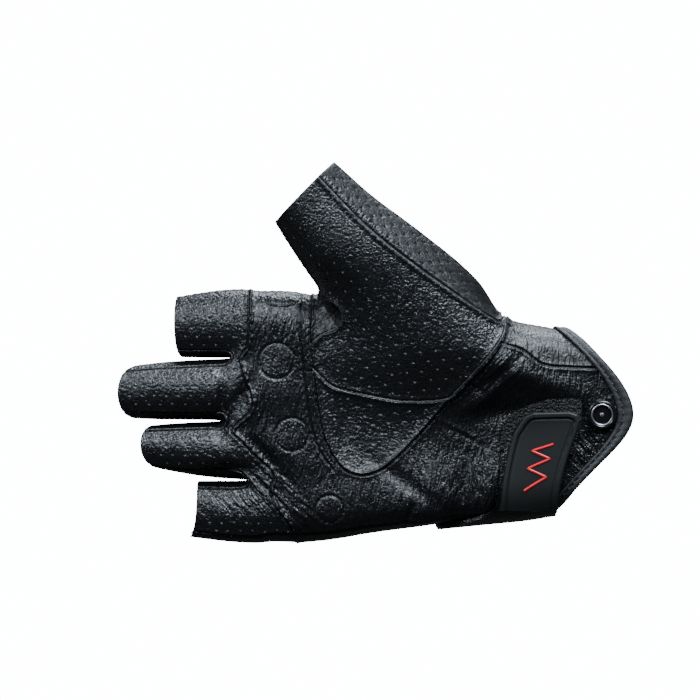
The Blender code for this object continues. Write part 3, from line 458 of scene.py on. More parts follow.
# Wrinkles
# Worn leather creases across every bend: at the finger roots, over the heel and round the ball
# of the thumb. Each row is a patch of creases that run one way; folds are the larger dents.
Creases = namedtuple("Creases", "reach height along beside turn_deg spacing depth")
CREASES = (
    Creases(0.290, 0.190, 0.160, 0.120, 46, 2.2, 0.34),
    Creases(0.130, 0.150, 0.170, 0.130, 94, 2.0, 0.26),
    Creases(0.120, 0.255, 0.100, 0.070, 80, 2.0, 0.26),
    Creases(0.400, -0.190, 0.190, 0.150, 82, 2.2, 0.24),
    Creases(0.360, -0.330, 0.120, 0.160, 70, 2.3, 0.28),
    Creases(0.800, -0.200, 0.230, 0.150, 86, 2.2, 0.16),
    Creases(0.905, 0.380, 0.120, 0.140, 86, 2.0, 0.22),
    Creases(0.960, -0.275, 0.140, 0.100, -48, 2.3, 0.50),
    Creases(0.880, -0.400, 0.130, 0.120, -35, 2.2, 0.26),
    Creases(1.010, 0.010, 0.120, 0.110, 70, 2.2, 0.34),
    Creases(0.030, -0.130, 0.080, 0.080, -55, 2.0, 0.45),
    Creases(1.130, 0.060, 0.300, 0.110, 60, 2.2, 0.18),
    Creases(1.120, -0.130, 0.300, 0.090, -60, 2.2, 0.20),
    Creases(1.050, -0.330, 0.180, 0.110, -50, 2.2, 0.28),
    Creases(1.080, 0.330, 0.200, 0.120, 80, 2.2, 0.12),
    Creases(0.570, -0.330, 0.200, 0.100, 75, 2.4, 0.20),
    Creases(0.780, 0.400, 0.060, 0.110, 60, 1.9, 0.50),
)
Fold = namedtuple("Fold", "reach height turn_deg half_length half_width rise")
FOLDS = (
    Fold(0.330, 0.100, 35, 0.100, 0.030, 1.5),
    Fold(0.290, 0.030, 15, 0.090, 0.035, -1.0),
    Fold(0.765, 0.405, 50, 0.060, 0.045, -1.0),
    Fold(0.195, 0.170, -22, 0.230, 0.058, 2.2),
    Fold(0.560, -0.240, -35, 0.220, 0.030, -0.9),
    Fold(0.500, -0.300, 80, 0.160, 0.035, 0.9),
    Fold(0.400, -0.280, 80, 0.150, 0.030, -1.0),
    Fold(0.320, -0.260, 80, 0.140, 0.035, 1.1),
    Fold(1.020, 0.090, 60, 0.080, 0.030, -2.3),
    Fold(1.075, 0.050, 88, 0.110, 0.024, -2.4),
    Fold(1.060, -0.200, 5, 0.110, 0.028, -2.2),
    Fold(0.960, -0.130, -50, 0.090, 0.030, -1.7),
    Fold(0.720, 0.000, 85, 0.150, 0.040, -1.0),
    Fold(0.385, 0.165, -33, 0.060, 0.014, 0.45),
    Fold(0.370, 0.140, -33, 0.060, 0.014, -0.50),
    Fold(0.400, -0.040, -28, 0.090, 0.012, 0.30),
    Fold(0.388, -0.058, -28, 0.090, 0.012, -0.35),
    Fold(0.300, 0.215, 46, 0.080, 0.020, 0.45),
    Fold(0.262, 0.215, 46, 0.080, 0.018, -0.45),
    Fold(0.930, -0.300, -45, 0.070, 0.012, -0.80),
    Fold(0.955, -0.285, -45, 0.070, 0.012, 0.80),
    Fold(0.545, -0.370, 60, 0.060, 0.014, -0.8),
)
Pad = namedtuple("Pad", "reach height radius rise squash")
PADS = (
    Pad(0.906, 0.478, 5.8, 0.35, 2.6), Pad(0.920, 0.234, 5.9, 0.40, 1.0),
    Pad(0.877, -0.056, 5.5, 0.35, 1.0), Pad(0.771, -0.349, 4.6, 0.30, 1.0),
)
# The sewn ring's radius as a share of the pad's, and how round the pad's edge is
PAD_RIM, PAD_EDGE = 1.04, 0.7
RING_DEPTH, RING_WIDTH = 0.26, 0.38
RING_LIP, RING_LIP_AT, RING_LIP_WIDTH = 0.05, 1.0, 0.6
# How long and how winding the creases are, and how deep they cut
CREASE_LENGTH, CREASE_SWAY, CREASE_FALL = 6.0, 0.45, 1.5
SWAY_SIZE, SWAY_AMOUNT = 7.0, 1.6
CREASE_SWELL, CREASE_CUT, CREASE_CUT_WIDTH = 0.35, 0.75, 0.25
SKIN_SIZE, SKIN_SWELL, SKIN_CUT, SKIN_CUT_WIDTH = 3.1, 0.03, 0.05, 0.10
UNEVEN_SIZE, UNEVEN_RISE = 11.0, 0.12
CALM_WIDTH, CALM_LEAST = 1.5, 0.15
LEATHER_TO_LINING = 1.25


def noise(spots):
    """Smooth noise from -1 to 1 at points of a unit lattice."""
    cell = np.floor(spots).astype(np.int64)
    part = spots - cell
    part = part * part * (3.0 - 2.0 * part)
    total = np.zeros(len(spots))
    for corner in range(8):
        step = np.array((corner & 1, corner >> 1 & 1, corner >> 2 & 1))
        at = cell + step
        mixed = at[:, 0] * 73856093 ^ at[:, 1] * 19349663 ^ at[:, 2] * 83492791
        mixed = (mixed ^ mixed >> 13) * 1274126177 & 0xFFFFFFFF
        value = ((mixed ^ mixed >> 16) & 0xFFFF) / 32767.5 - 1.0
        total += value * np.prod(np.where(step, part, 1.0 - part), axis=1)
    return total


def seen_from(place, points):
    """Where points lie on the palm, from a row's place in its table."""
    return points[:, 0] + place.reach * PALM_LENGTH, points[:, 2] - place.height * PALM_WIDTH


def folds_and_pads(points, normals):
    """Height of the larger dents and of the padded discs."""
    rise = np.zeros(len(points))
    for fold in FOLDS:
        x, z = seen_from(fold, points)
        turn = math.radians(fold.turn_deg)
        along = (x * math.cos(turn) + z * math.sin(turn)) / (fold.half_length * PALM_WIDTH)
        beside = (z * math.cos(turn) - x * math.sin(turn)) / (fold.half_width * PALM_WIDTH)
        rise += fold.rise * np.exp(-along**2 - beside**2)
    for pad in PADS:
        x, z = seen_from(pad, points)
        share = np.hypot(x, z * pad.squash) / (pad.radius * MM)
        from_ring = (share - PAD_RIM) * pad.radius
        rise += pad.rise * np.clip(1.0 - share**2, 0.0, 1.0) ** PAD_EDGE
        rise -= RING_DEPTH * np.exp(-(from_ring / RING_WIDTH) ** 2)
        rise += RING_LIP * np.exp(-((from_ring - RING_LIP_AT) / RING_LIP_WIDTH) ** 2)
    facing = np.clip(-normals[:, 1] * 1.6, 0.0, 1.0)
    return rise * facing * MM


def wrinkle_relief(points, normals):
    """Height of the creases: valleys along the zero lines of stretched noise."""
    facing = np.clip(-normals[:, 1] * 1.5, 0.0, 1.0)
    spots = points / MM
    warp = noise(spots / SWAY_SIZE) * SWAY_AMOUNT
    rise = np.zeros(len(points))
    for number, patch in enumerate(CREASES):
        x, z = seen_from(patch, points)
        turn = math.radians(patch.turn_deg)
        along = x * math.cos(turn) + z * math.sin(turn)
        beside = z * math.cos(turn) - x * math.sin(turn)
        away = (x / (patch.along * PALM_WIDTH)) ** 2 + (z / (patch.beside * PALM_WIDTH)) ** 2
        inside = np.exp(-(away**CREASE_FALL))
        use = inside > 0.02
        lattice = np.stack([
            along[use] / MM / (patch.spacing * CREASE_LENGTH),
            (beside[use] / MM + warp[use] * CREASE_SWAY) / patch.spacing,
            np.full(use.sum(), number * 7.3),
        ], 1)
        value = noise(lattice)
        crease = CREASE_SWELL * value - CREASE_CUT * np.exp(-(value / CREASE_CUT_WIDTH) ** 2)
        rise[use] += crease * inside[use] * patch.depth
    rise *= facing
    value = noise(spots / SKIN_SIZE)
    rise += SKIN_SWELL * value - SKIN_CUT * np.exp(-(value / SKIN_CUT_WIDTH) ** 2)
    rise += UNEVEN_RISE * noise(spots / UNEVEN_SIZE)
    return rise * MM


def relief(surface):
    """The surface's points moved along its normals, and each one's way from a seam in mm."""
    folds = folds_and_pads(surface.points, surface.normals)
    seams, offset = seam_relief(surface.points, surface.normals)
    calm = np.clip(np.abs(offset) / CALM_WIDTH, CALM_LEAST, 1.0)
    height = folds + seams + wrinkle_relief(surface.points, surface.normals) * calm
    return surface.points + surface.normals * height[:, None], offset


fine_points, fine_offset = relief(fine)
medium_points, medium_offset = relief(medium)
lining_points = coarse.points - coarse.normals * LEATHER_TO_LINING * MM
lining_points += coarse.normals * folds_and_pads(coarse.points, coarse.normals)[:, None]

# Leather finishes
# Black full-grain hide with a semi-gloss finish, smooth on the palm, duller on the gussets and
# coarser where it is perforated. The grain is a pebble of fine cells crossed by thin creases.


def set_or_link(tree, value, socket):
    """Gives a socket its value: a wire is linked to it, a plain value is set."""
    if isinstance(value, Wire):
        tree.links.new(value.socket, socket)
    else:
        socket.default_value = value


class Wire:
    """A shader socket that can be used in a Python expression."""

    def __init__(self, tree, socket):
        self.tree, self.socket = tree, socket

    def math(self, kind, *values):
        node = self.tree.nodes.new("ShaderNodeMath")
        node.operation = kind
        for value, socket in zip(values, node.inputs):
            set_or_link(self.tree, value, socket)
        return Wire(self.tree, node.outputs[0])

    def __add__(self, other):
        return self.math("ADD", self, other)

    def __radd__(self, other):
        return self.math("ADD", other, self)

    def __sub__(self, other):
        return self.math("SUBTRACT", self, other)

    def __rsub__(self, other):
        return self.math("SUBTRACT", other, self)

    def __mul__(self, other):
        return self.math("MULTIPLY", self, other)

    def __rmul__(self, other):
        return self.math("MULTIPLY", other, self)

    def __truediv__(self, other):
        return self.math("DIVIDE", self, other)

    def clamp(self, low=0.0, high=1.0):
        return self.math("MINIMUM", self.math("MAXIMUM", self, low), high)


class Finish:
    """A node material that is written from the Principled shader back."""

    def __init__(self, name, **constants):
        self.material = bpy.data.materials.new(name)
        self.material.use_nodes = True
        self.tree = self.material.node_tree
        self.shader = self.tree.nodes["Principled BSDF"]
        for socket, value in constants.items():
            self.shader.inputs[socket.replace("_", " ")].default_value = value
        self.place = self.node("TexCoord", "Object")

    def node(self, kind, output, settings=(), **inputs):
        made = self.tree.nodes.new("ShaderNode" + kind)
        for key, value in dict(settings).items():
            setattr(made, key, value)
        for key, value in inputs.items():
            set_or_link(self.tree, value, made.inputs[key.replace("_", " ")])
        return Wire(self.tree, made.outputs[output])

    def swirled(self, place, scale, amount):
        """Places pushed about by a small, smooth noise."""
        swirl = self.node("TexNoise", "Color", Vector=place, Scale=scale, Detail=1.0)
        pushed = self.tree.nodes.new("ShaderNodeVectorMath")
        pushed.operation = "MULTIPLY_ADD"
        self.tree.links.new(swirl.socket, pushed.inputs[0])
        pushed.inputs[1].default_value = (amount, amount, amount)
        self.tree.links.new(place.socket, pushed.inputs[2])
        return Wire(self.tree, pushed.outputs[0])

    def bell(self, wire):
        """1 where a value is 0, falling smoothly to 0 on both sides."""
        return self.node("Math", "Value", {"operation": "EXPONENT"}, Value=wire * wire * -1.0)

    def noise(self, scale, detail=2.0, rough=0.5):
        return self.node(
            "TexNoise", "Fac", Vector=self.place, Scale=scale, Detail=detail, Roughness=rough
        )

    def cells(self, scale, feature="F1", place=None):
        return self.node(
            "TexVoronoi", "Distance", {"feature": feature}, Vector=place or self.place, Scale=scale
        )

    def blend(self, share, first, second):
        made = self.tree.nodes.new("ShaderNodeMix")
        made.data_type = "RGBA"
        for value, number in ((share, 0), (first, 6), (second, 7)):
            set_or_link(self.tree, value, made.inputs[number])
        return Wire(self.tree, made.outputs[2])

    def bump(self, height, distance):
        normal = self.node("Bump", "Normal", Height=height, Distance=distance, Strength=1.0)
        self.tree.links.new(normal.socket, self.shader.inputs["Normal"])

    def drive(self, socket, wire):
        self.tree.links.new(wire.socket, self.shader.inputs[socket])


def rgba(r, g, b):
    return (r, g, b, 1.0)


# Directions, in degrees from the fingers' line, of the creases that are too fine for the mesh
FINE_CREASES = {"upright": 84, "rising": 42, "falling": -50}
PLATE_DEPTH, PLATE_EDGE = 2.5, 3.2
CREASE_LAYERS = ((0, 0.0013, 0.0064, 0.22), (9, 0.0026, 0.0110, 0.14))
SEAM_GROOVE, SEAM_GROOVE_WIDTH = 0.28, 0.24
SEAM_LIP, SEAM_LIP_AT, SEAM_LIP_WIDTH = 0.18, 0.80, 0.40


def creases(finish, turn_deg, beside, along):
    """Thin valleys round long plates that lie in one direction, 0 in a valley and 1 on a plate."""
    place = finish.node(
        "Mapping", "Vector", {"vector_type": "TEXTURE"}, Vector=finish.place,
        Rotation=(0.0, -math.radians(turn_deg), 0.0), Scale=(along, beside * PLATE_DEPTH, beside),
    )
    plates = finish.cells(1.0, "DISTANCE_TO_EDGE", finish.swirled(place, 0.45, 0.9))
    return (plates * PLATE_EDGE).clamp()


def leather(name, dark, light, roughness, grain_scale, grain_depth, overall=0.0, drawn=1.0):
    """Hide with its pebble, with upright creases overall and others where the mesh draws them."""
    finish = Finish(name, IOR=1.47, Specular_IOR_Level=0.5, Coat_Weight=0.10, Coat_Roughness=0.30)
    tone = finish.noise(90.0, 3.0)
    wear = finish.noise(620.0, 4.0, 0.65)
    finish.drive("Base Color", finish.blend((tone * 0.6 + wear * 0.5).clamp(), rgba(*dark), rgba(*light)))
    finish.drive("Roughness", (wear * 0.34 + tone * 0.10 + (roughness - 0.22)).clamp(0.2, 0.9))
    place = finish.swirled(finish.place, 450.0, 0.0009)
    pebble = finish.cells(grain_scale, "SMOOTH_F1", place)
    plates = (finish.cells(grain_scale * 0.62, "DISTANCE_TO_EDGE", place) * 6.0).clamp()
    height = pebble * -grain_depth + plates * (grain_depth * 0.30)
    height = height + finish.noise(grain_scale * 3.0, 2.0) * (grain_depth * 0.25)
    for kind, turn_deg in FINE_CREASES.items():
        amount = finish.node("Attribute", "Fac", {"attribute_name": kind}) * drawn
        if kind == "upright":
            amount = amount + overall
        for more_deg, beside, along, depth in CREASE_LAYERS:
            height = height + creases(finish, turn_deg + more_deg, beside, along) * amount * depth
    beside = finish.node("Attribute", "Fac", {"attribute_name": "seam_side"})
    near = finish.node("Attribute", "Fac", {"attribute_name": "seam_near"})
    groove = finish.bell(beside / SEAM_GROOVE_WIDTH)
    lips = finish.bell((beside.math("ABSOLUTE", beside) - SEAM_LIP_AT) / SEAM_LIP_WIDTH)
    finish.bump(height + (lips * SEAM_LIP - groove * SEAM_GROOVE) * near, 0.001)
    return finish.material


smooth_leather = leather(
    "smooth_leather", (0.0010, 0.0012, 0.0016), (0.0038, 0.0043, 0.0054), 0.31, 1250.0, 0.17,
    overall=0.55,
)
perforated_leather = leather(
    "perforated_leather", (0.0024, 0.0026, 0.0031), (0.0072, 0.0078, 0.0090), 0.29, 1200.0, 0.26
)
outer_leather = leather(
    "outer_perforated_leather", (0.0012, 0.0013, 0.0016), (0.0050, 0.0053, 0.0060), 0.39, 1200.0, 0.11
)
gusset_leather = leather(
    "gusset_leather", (0.0008, 0.0009, 0.0012), (0.0024, 0.0027, 0.0034), 0.40, 1250.0, 0.17,
    overall=0.45, drawn=0.75,
)
# Painted highlight: the walls of the punched holes get this light grey, which paints the glint on each
# hole's rim.
hole_wall_painted_glint = Finish("hole_wall_painted_glint", Roughness=0.6, Base_Color=rgba(0.11, 0.115, 0.125)).material
# Painted shade: the near-black, matt ends of the holes, and the hole walls on the outer thumb, stand for
# the dark lining seen through the holes and for the shade inside them.
hole_painted_shade = Finish("hole_painted_shade", Roughness=0.9, Base_Color=rgba(0.0008, 0.0008, 0.0010)).material

ridge_line = max(edge_lines[FRONT, THUMB_OUTER], key=lambda line: line[:, 2].max())
ridge_tree = tree_of(ridge_line)
# The gathers beside the upper part of the thumb's ridge
GATHER_FROM, GATHER_FADE = 0.052, 0.012
GATHER_AT, GATHER_WIDTH, GATHER_AMOUNT = 1.6, 1.5, 1.8


def from_ridge(points):
    """Each point's distance from the thumb's ridge in millimetres."""
    return np.array([ridge_tree.find(point)[2] for point in points]) / MM


def crease_amounts(points, gathered):
    """For each point, how strong the fine creases of each direction are."""
    amounts = {kind: np.zeros(len(points)) for kind in FINE_CREASES}
    for patch in CREASES:
        x, z = seen_from(patch, points)
        away = (x / (patch.along * PALM_WIDTH)) ** 2 + (z / (patch.beside * PALM_WIDTH)) ** 2
        kind = min(FINE_CREASES, key=lambda name: abs(FINE_CREASES[name] - patch.turn_deg))
        amounts[kind] += np.exp(-away) * min(patch.depth * 2.0, 1.0)
    if gathered:
        upper = np.clip((points[:, 2] - GATHER_FROM) / GATHER_FADE, 0.0, 1.0)
        beside = np.exp(-((from_ridge(points) - GATHER_AT) / GATHER_WIDTH) ** 2)
        amounts["rising"] += GATHER_AMOUNT * beside * upper
    return amounts


def select_only(piece):
    bpy.ops.object.select_all(action="DESELECT")
    piece.select_set(True)
    bpy.context.view_layer.objects.active = piece


def place_object(name, points, faces, surface, angle_deg=None):
    """A mesh object from arrays, smooth-shaded, with its finish."""
    mesh = bpy.data.meshes.new(name)
    mesh.from_pydata([tuple(p) for p in points], [], faces)
    mesh.validate()
    made = bpy.data.objects.new(name, mesh)
    bpy.context.scene.collection.objects.link(made)
    mesh.materials.append(surface)
    if angle_deg is None:
        mesh.shade_smooth()
    else:
        select_only(made)
        bpy.ops.object.shade_smooth_by_angle(angle=math.radians(angle_deg))
    return made


def on_glove(made, node=None):
    """Fastens a finished piece to the glove, in place of the solid that it dresses."""
    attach(made, "root")
    if node:
        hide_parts(node)


# Leather panels
# The front is cut into its panels along the seam curves; the back, the outer thumb and the
# strips between the fingers are whole. Cut edges at the openings are folded in as hems, and a
# thinner inner face closes each wall.
HEM = ((0.30, -0.12), (0.48, -0.55), (0.40, -1.05), (0.05, -1.40), (-2.5, -1.50), (-5.0, -1.48))


def in_outline(x, z, outline):
    inside = np.zeros(len(x), bool)
    for (ax, az), (bx, bz) in zip(outline, np.roll(outline, -1, axis=0)):
        crosses = (az > z) != (bz > z)
        with np.errstate(divide="ignore", invalid="ignore"):
            inside ^= crosses & (x < ax + (z - az) * (bx - ax) / (bz - az))
    return inside


def closed(line, *corners):
    return np.vstack([line, *(place_on(corner)[None] for corner in corners)])


thumb_line = smooth_line((*KNUCKLE_SEAM, *THENAR_SEAM, *HEEL_SEAM))
REGIONS = {
    "crotch_gusset": closed(smooth_line(((0.800, 0.540), *GUSSET_SEAM)), (0.826, 0.317), (0.823, 0.500)),
    "palm_tongue": np.vstack([
        smooth_line(TONGUE_LINE), smooth_line((*reversed(THENAR_SEAM), KNUCKLE_SEAM[-1])),
    ]),
    "thumb_panel": closed(
        thumb_line, (0.250, 0.600), (0.250, 1.350), (0.985, 1.350), (0.985, 0.820), (0.835, 0.530)
    ),
    "finger_panel": closed(smooth_line(FINGER_SEAM), (1.60, -0.540), (1.60, 0.58)),
    "wrist_gusset": closed(
        smooth_line((HEEL_SEAM[1], *WRIST_SEAM, (-0.20, 0.206))),
        (-0.20, 0.60), (0.269, 0.60), (0.274, 0.377),
    ),
}


def region_of(points, faces):
    """The number of the front panel that each face belongs to; the last is the palm leather."""
    centre = points[faces].mean(axis=1)
    palm = len(REGIONS)
    number = np.full(len(faces), palm)
    for k, outline in enumerate(REGIONS.values()):
        number[(number == palm) & in_outline(centre[:, 0], centre[:, 2], outline)] = k
    return number


def open_edges(faces):
    """Directed edges that belong to one face of the whole form."""
    directed = edges_of(faces)
    ordered = np.sort(directed, axis=1)
    keys = ordered[:, 0] * 10_000_000 + ordered[:, 1]
    _, back, count = np.unique(keys, return_inverse=True, return_counts=True)
    return directed[count[back.ravel()] == 1]


def rim_way(surface, points):
    """For each point of the form's open rims, the way out of the leather at the rim."""
    out = {}
    rim = {int(i) for edge in open_edges(surface.faces) for i in edge}
    for face in surface.faces[np.isin(surface.faces, list(rim)).any(axis=1)]:
        for a, b in zip(face, np.roll(face, -1)):
            for here, there in ((a, b), (b, a)):
                if here in rim and there not in rim:
                    way = points[here] - points[there]
                    way = way - surface.normals[here] * way.dot(surface.normals[here])
                    out[int(here)] = way / np.linalg.norm(way)
    return out


# An opening nearer the wrist than this has the binding and no hem
NO_HEM_PAST = -0.04
SEAM_REACH, SEAM_FADE, FAR_FROM_SEAM = 4.0, 2.0, 9.0
RIDGE_EXTRA, RIDGE_FADE = 0.5, 3.0
PANEL_SHARP_DEG = 42


def panel(name, surface, points, offsets, faces, lining_faces, material, holes=()):
    """One leather panel: its outer face, hems on its open edges, inner face and punched holes."""
    rims = {tuple(edge) for edge in open_edges(surface.faces).tolist()}
    ways = rim_way(surface, points)
    all_points = [points]
    total = len(points)
    all_faces = faces.tolist()
    own = [
        (a, b) for face in all_faces for a, b in zip(face, (*face[1:], face[0])) if (a, b) in rims
    ]
    rim_points = sorted({i for edge in own for i in edge})
    previous = {i: i for i in rim_points}
    for out, up in HEM if rim_points and points[rim_points][:, 0].max() < NO_HEM_PAST else ():
        row = np.array([points[i] + (ways[i] * out + surface.normals[i] * up) * MM for i in rim_points])
        current = {i: total + k for k, i in enumerate(rim_points)}
        all_points.append(row)
        total += len(row)
        for a, b in own:
            all_faces.append((previous[b], previous[a], current[a], current[b]))
        previous = current
    all_points.append(lining_points)
    all_faces += (lining_faces[:, ::-1] + total).tolist()
    joined = np.vstack(all_points)
    used = np.unique(np.concatenate([np.ravel(f) for f in all_faces]))
    number = np.full(len(joined), -1)
    number[used] = np.arange(len(used))
    new_faces = [[int(number[i]) for i in f] for f in all_faces]
    new_points = joined[used]
    amounts = crease_amounts(new_points, name == "thumb_outer_skin")
    spare = np.full(len(joined) - len(points), FAR_FROM_SEAM)
    beside = np.concatenate([offsets, spare])[used]
    amounts["seam_side"] = np.clip(beside, -SEAM_REACH, SEAM_REACH)
    amounts["seam_near"] = np.exp(-(beside / SEAM_FADE) ** 2)
    if name in ("thumb_outer_skin", "thumb_panel_skin"):
        on_ridge = np.exp(-(from_ridge(new_points) / RIDGE_FADE) ** 2)
        amounts["seam_near"] *= 1.0 + RIDGE_EXTRA * on_ridge
    inner_faces = 0
    if len(holes):
        new_points, new_faces, inner_faces = punched(new_points, new_faces, number[list(holes)])
    made = place_object(name, new_points, new_faces, material, PANEL_SHARP_DEG)
    # Hole walls get a light grey as a painted glint on the holes' rims (near black on the outer thumb), and
    # hole ends get near black as painted shade inside the holes.
    if inner_faces:
        made.data.materials.append(hole_painted_shade if name == "thumb_outer_skin" else hole_wall_painted_glint)
        made.data.materials.append(hole_painted_shade)
        for face in made.data.polygons[-inner_faces:]:
            face.material_index = 1 if len(face.vertices) == 4 else 2
    for kind, amount in amounts.items():
        values = np.zeros(len(made.data.vertices), np.float32)
        values[: len(amount)] = amount
        made.data.attributes.new(kind, "FLOAT", "POINT").data.foreach_set("value", values)
    return made


HOLE_RADIUS = 0.00040
HOLE_DEPTH = 0.0005
HOLE_TAPER = 0.45
HOLE_SINK = 0.00016
HOLE_OFF_GRID = 0.0004
LEAST_FACING = 0.25


def punched(points, faces, centres):
    """Opens a round hole at each centre point: its four faces become a short tube with an end."""
    around = {int(c): [] for c in centres}
    for k, face in enumerate(faces):
        for i in face:
            if i in around:
                around[i].append(k)
    removed, extra_points, extra_faces = set(), [], []
    total = len(points)
    taken = set()
    for c, near in around.items():
        ring = sorted({i for k in near for i in faces[k]} - {c})
        if len(near) != 4 or len(ring) != 8 or taken & set(ring):
            continue
        taken |= set(ring)
        own = [points[i] for i in ring]
        quads = [faces[k] for k in near]
        normal = sum(
            np.cross(points[q[2]] - points[q[0]], points[q[3]] - points[q[1]]) for q in quads
        )
        normal /= np.linalg.norm(normal)
        first = own[0] - points[c]
        first -= normal * first.dot(normal)
        first /= np.linalg.norm(first)
        second = np.cross(normal, first)
        flat = [((p - points[c]).dot(first), (p - points[c]).dot(second)) for p in own]
        order = sorted(range(8), key=lambda n: math.atan2(flat[n][1], flat[n][0]))
        ring = [ring[n] for n in order]
        start = math.atan2(flat[order[0]][1], flat[order[0]][0])
        for n, i in enumerate(ring):
            turn = start + n * math.pi / 4
            way = first * math.cos(turn) + second * math.sin(turn)
            points[i] = points[c] + way * HOLE_RADIUS - normal * HOLE_SINK
        extra_points += [mix(points[i], points[c], HOLE_TAPER) - normal * HOLE_DEPTH for i in ring]
        for n in range(8):
            m = (n + 1) % 8
            extra_faces.append([ring[n], ring[m], total + m, total + n])
        extra_faces.append([total + n for n in range(8)])
        total += 8
        removed |= set(near)
    kept = [face for k, face in enumerate(faces) if k not in removed]
    return np.vstack([points, *extra_points]), kept + extra_faces, len(extra_faces)


def hole_grid(candidates, direction, along, pitch, row_step):
    """The points of a staggered grid, seen along a direction, among the candidate points."""
    direction = np.array(direction) / np.linalg.norm(direction)
    along = np.array(along) - direction * np.dot(along, direction)
    along /= np.linalg.norm(along)
    side = np.cross(direction, along)
    seen = candidates[fine.normals[candidates] @ direction < -LEAST_FACING]
    flat = np.stack([fine_points[seen] @ along, fine_points[seen] @ side], 1)
    row = np.round(flat[:, 1] / row_step)
    stagger = (row % 2) * pitch / 2
    column = np.round((flat[:, 0] - stagger) / pitch)
    off = np.hypot(flat[:, 0] - stagger - column * pitch, flat[:, 1] - row * row_step)
    found, chosen = set(), []
    for n in np.argsort(off):
        if off[n] > HOLE_OFF_GRID:
            break
        key = (int(row[n]), int(column[n]))
        if key not in found:
            found.add(key)
            chosen.append(int(seen[n]))
    return chosen


front_faces = fine.faces[fine.tags == FRONT]
front_region = region_of(fine.points, front_faces)
lining_front = coarse.faces[coarse.tags == FRONT]
lining_region = region_of(coarse.points, lining_front)
rim_tree = tree_of(fine_points[sorted({int(i) for edge in open_edges(fine.faces) for i in edge})])


def free_points(faces, seam_margin, rim_margin):
    """Points of some faces that keep clear of seams and of cut edges, in millimetres."""
    own = np.unique(faces)
    own = own[np.abs(fine_offset[own]) > seam_margin]
    return np.array([i for i in own if rim_tree.find(fine_points[i])[2] > rim_margin * MM])


Punching = namedtuple("Punching", "seam_margin rim_margin direction along pitch row_step")
PALM_PUNCHING = Punching(2.2, 2.5, (0.0, 1.0, 0.0), (1.0, 0.0, 0.10), 5.2 * MM, 3.3 * MM)
PUNCHINGS = {
    "palm_tongue": PALM_PUNCHING,
    "thumb_panel": PALM_PUNCHING,
    "finger_panel": Punching(2.0, 2.2, (0.0, 1.0, 0.0), (1.0, 0.0, 0.0), 4.2 * MM, 2.9 * MM),
    "thumb_outer": Punching(2.2, 2.5, (-0.45, 0.35, -0.82), (0.77, 0.10, -0.62), 5.0 * MM, 3.2 * MM),
}
FRONT_FINISHES = {
    "crotch_gusset": gusset_leather, "palm_tongue": perforated_leather,
    "thumb_panel": perforated_leather, "finger_panel": perforated_leather,
    "wrist_gusset": gusset_leather, "palm_leather": smooth_leather,
}


def fine_panel(node, own_faces, own_lining, finish):
    """A panel of the palm side or the thumb, with its holes where it is perforated."""
    chosen = ()
    if node in PUNCHINGS:
        row = PUNCHINGS[node]
        chosen = hole_grid(free_points(own_faces, row.seam_margin, row.rim_margin), *row[2:])
    made = panel(
        node + "_skin", fine, fine_points, fine_offset, own_faces, own_lining, finish, chosen
    )
    on_glove(made, node)


for k, name in enumerate((*REGIONS, "palm_leather")):
    fine_panel(
        name, front_faces[front_region == k], lining_front[lining_region == k], FRONT_FINISHES[name]
    )
fine_panel(
    "thumb_outer", fine.faces[fine.tags == THUMB_OUTER],
    coarse.faces[coarse.tags == THUMB_OUTER], outer_leather,
)
for tag, name in (
    (BACK, "back_leather"), (WEB_1, "fourchette_index_middle"),
    (WEB_2, "fourchette_middle_ring"), (WEB_3, "fourchette_ring_little"),
):
    made = panel(
        name + "_skin", medium, medium_points, medium_offset, medium.faces[medium.tags == tag],
        coarse.faces[coarse.tags == tag], smooth_leather,
    )
    on_glove(made, name)

# Stitches
# Black waxed thread, sunk a little into the leather: a row on each side of the finger seam, one row beside
# the knuckle, knuckle row, tongue, heel row and gusset seams and the thumb's ridge, and a fine ring round
# each padded disc.
laid = BVHTree.FromPolygons(
    fine_points.tolist(),
    fine.faces[(fine.tags == FRONT) | (fine.tags == THUMB_OUTER)].tolist(),
)
STITCH, THREAD, FINGER_THREAD = 0.0018, 0.00018, 0.00023
PAD_STITCH = (0.0, 0.0013, 0.0019, 0.00010)
RIDGE_ROW_AT = 0.0016
CapsuleRing = namedtuple("CapsuleRing", "share swell lift")
CAPSULE_RINGS = (
    CapsuleRing(-0.50, 0.0, -0.9), CapsuleRing(-0.42, 0.75, -0.4), CapsuleRing(-0.22, 1.0, 0.0),
    CapsuleRing(0.0, 1.05, 0.1), CapsuleRing(0.22, 1.0, 0.0), CapsuleRing(0.42, 0.75, -0.4),
    CapsuleRing(0.50, 0.0, -0.9),
)
CAPSULE_SIDES = 6


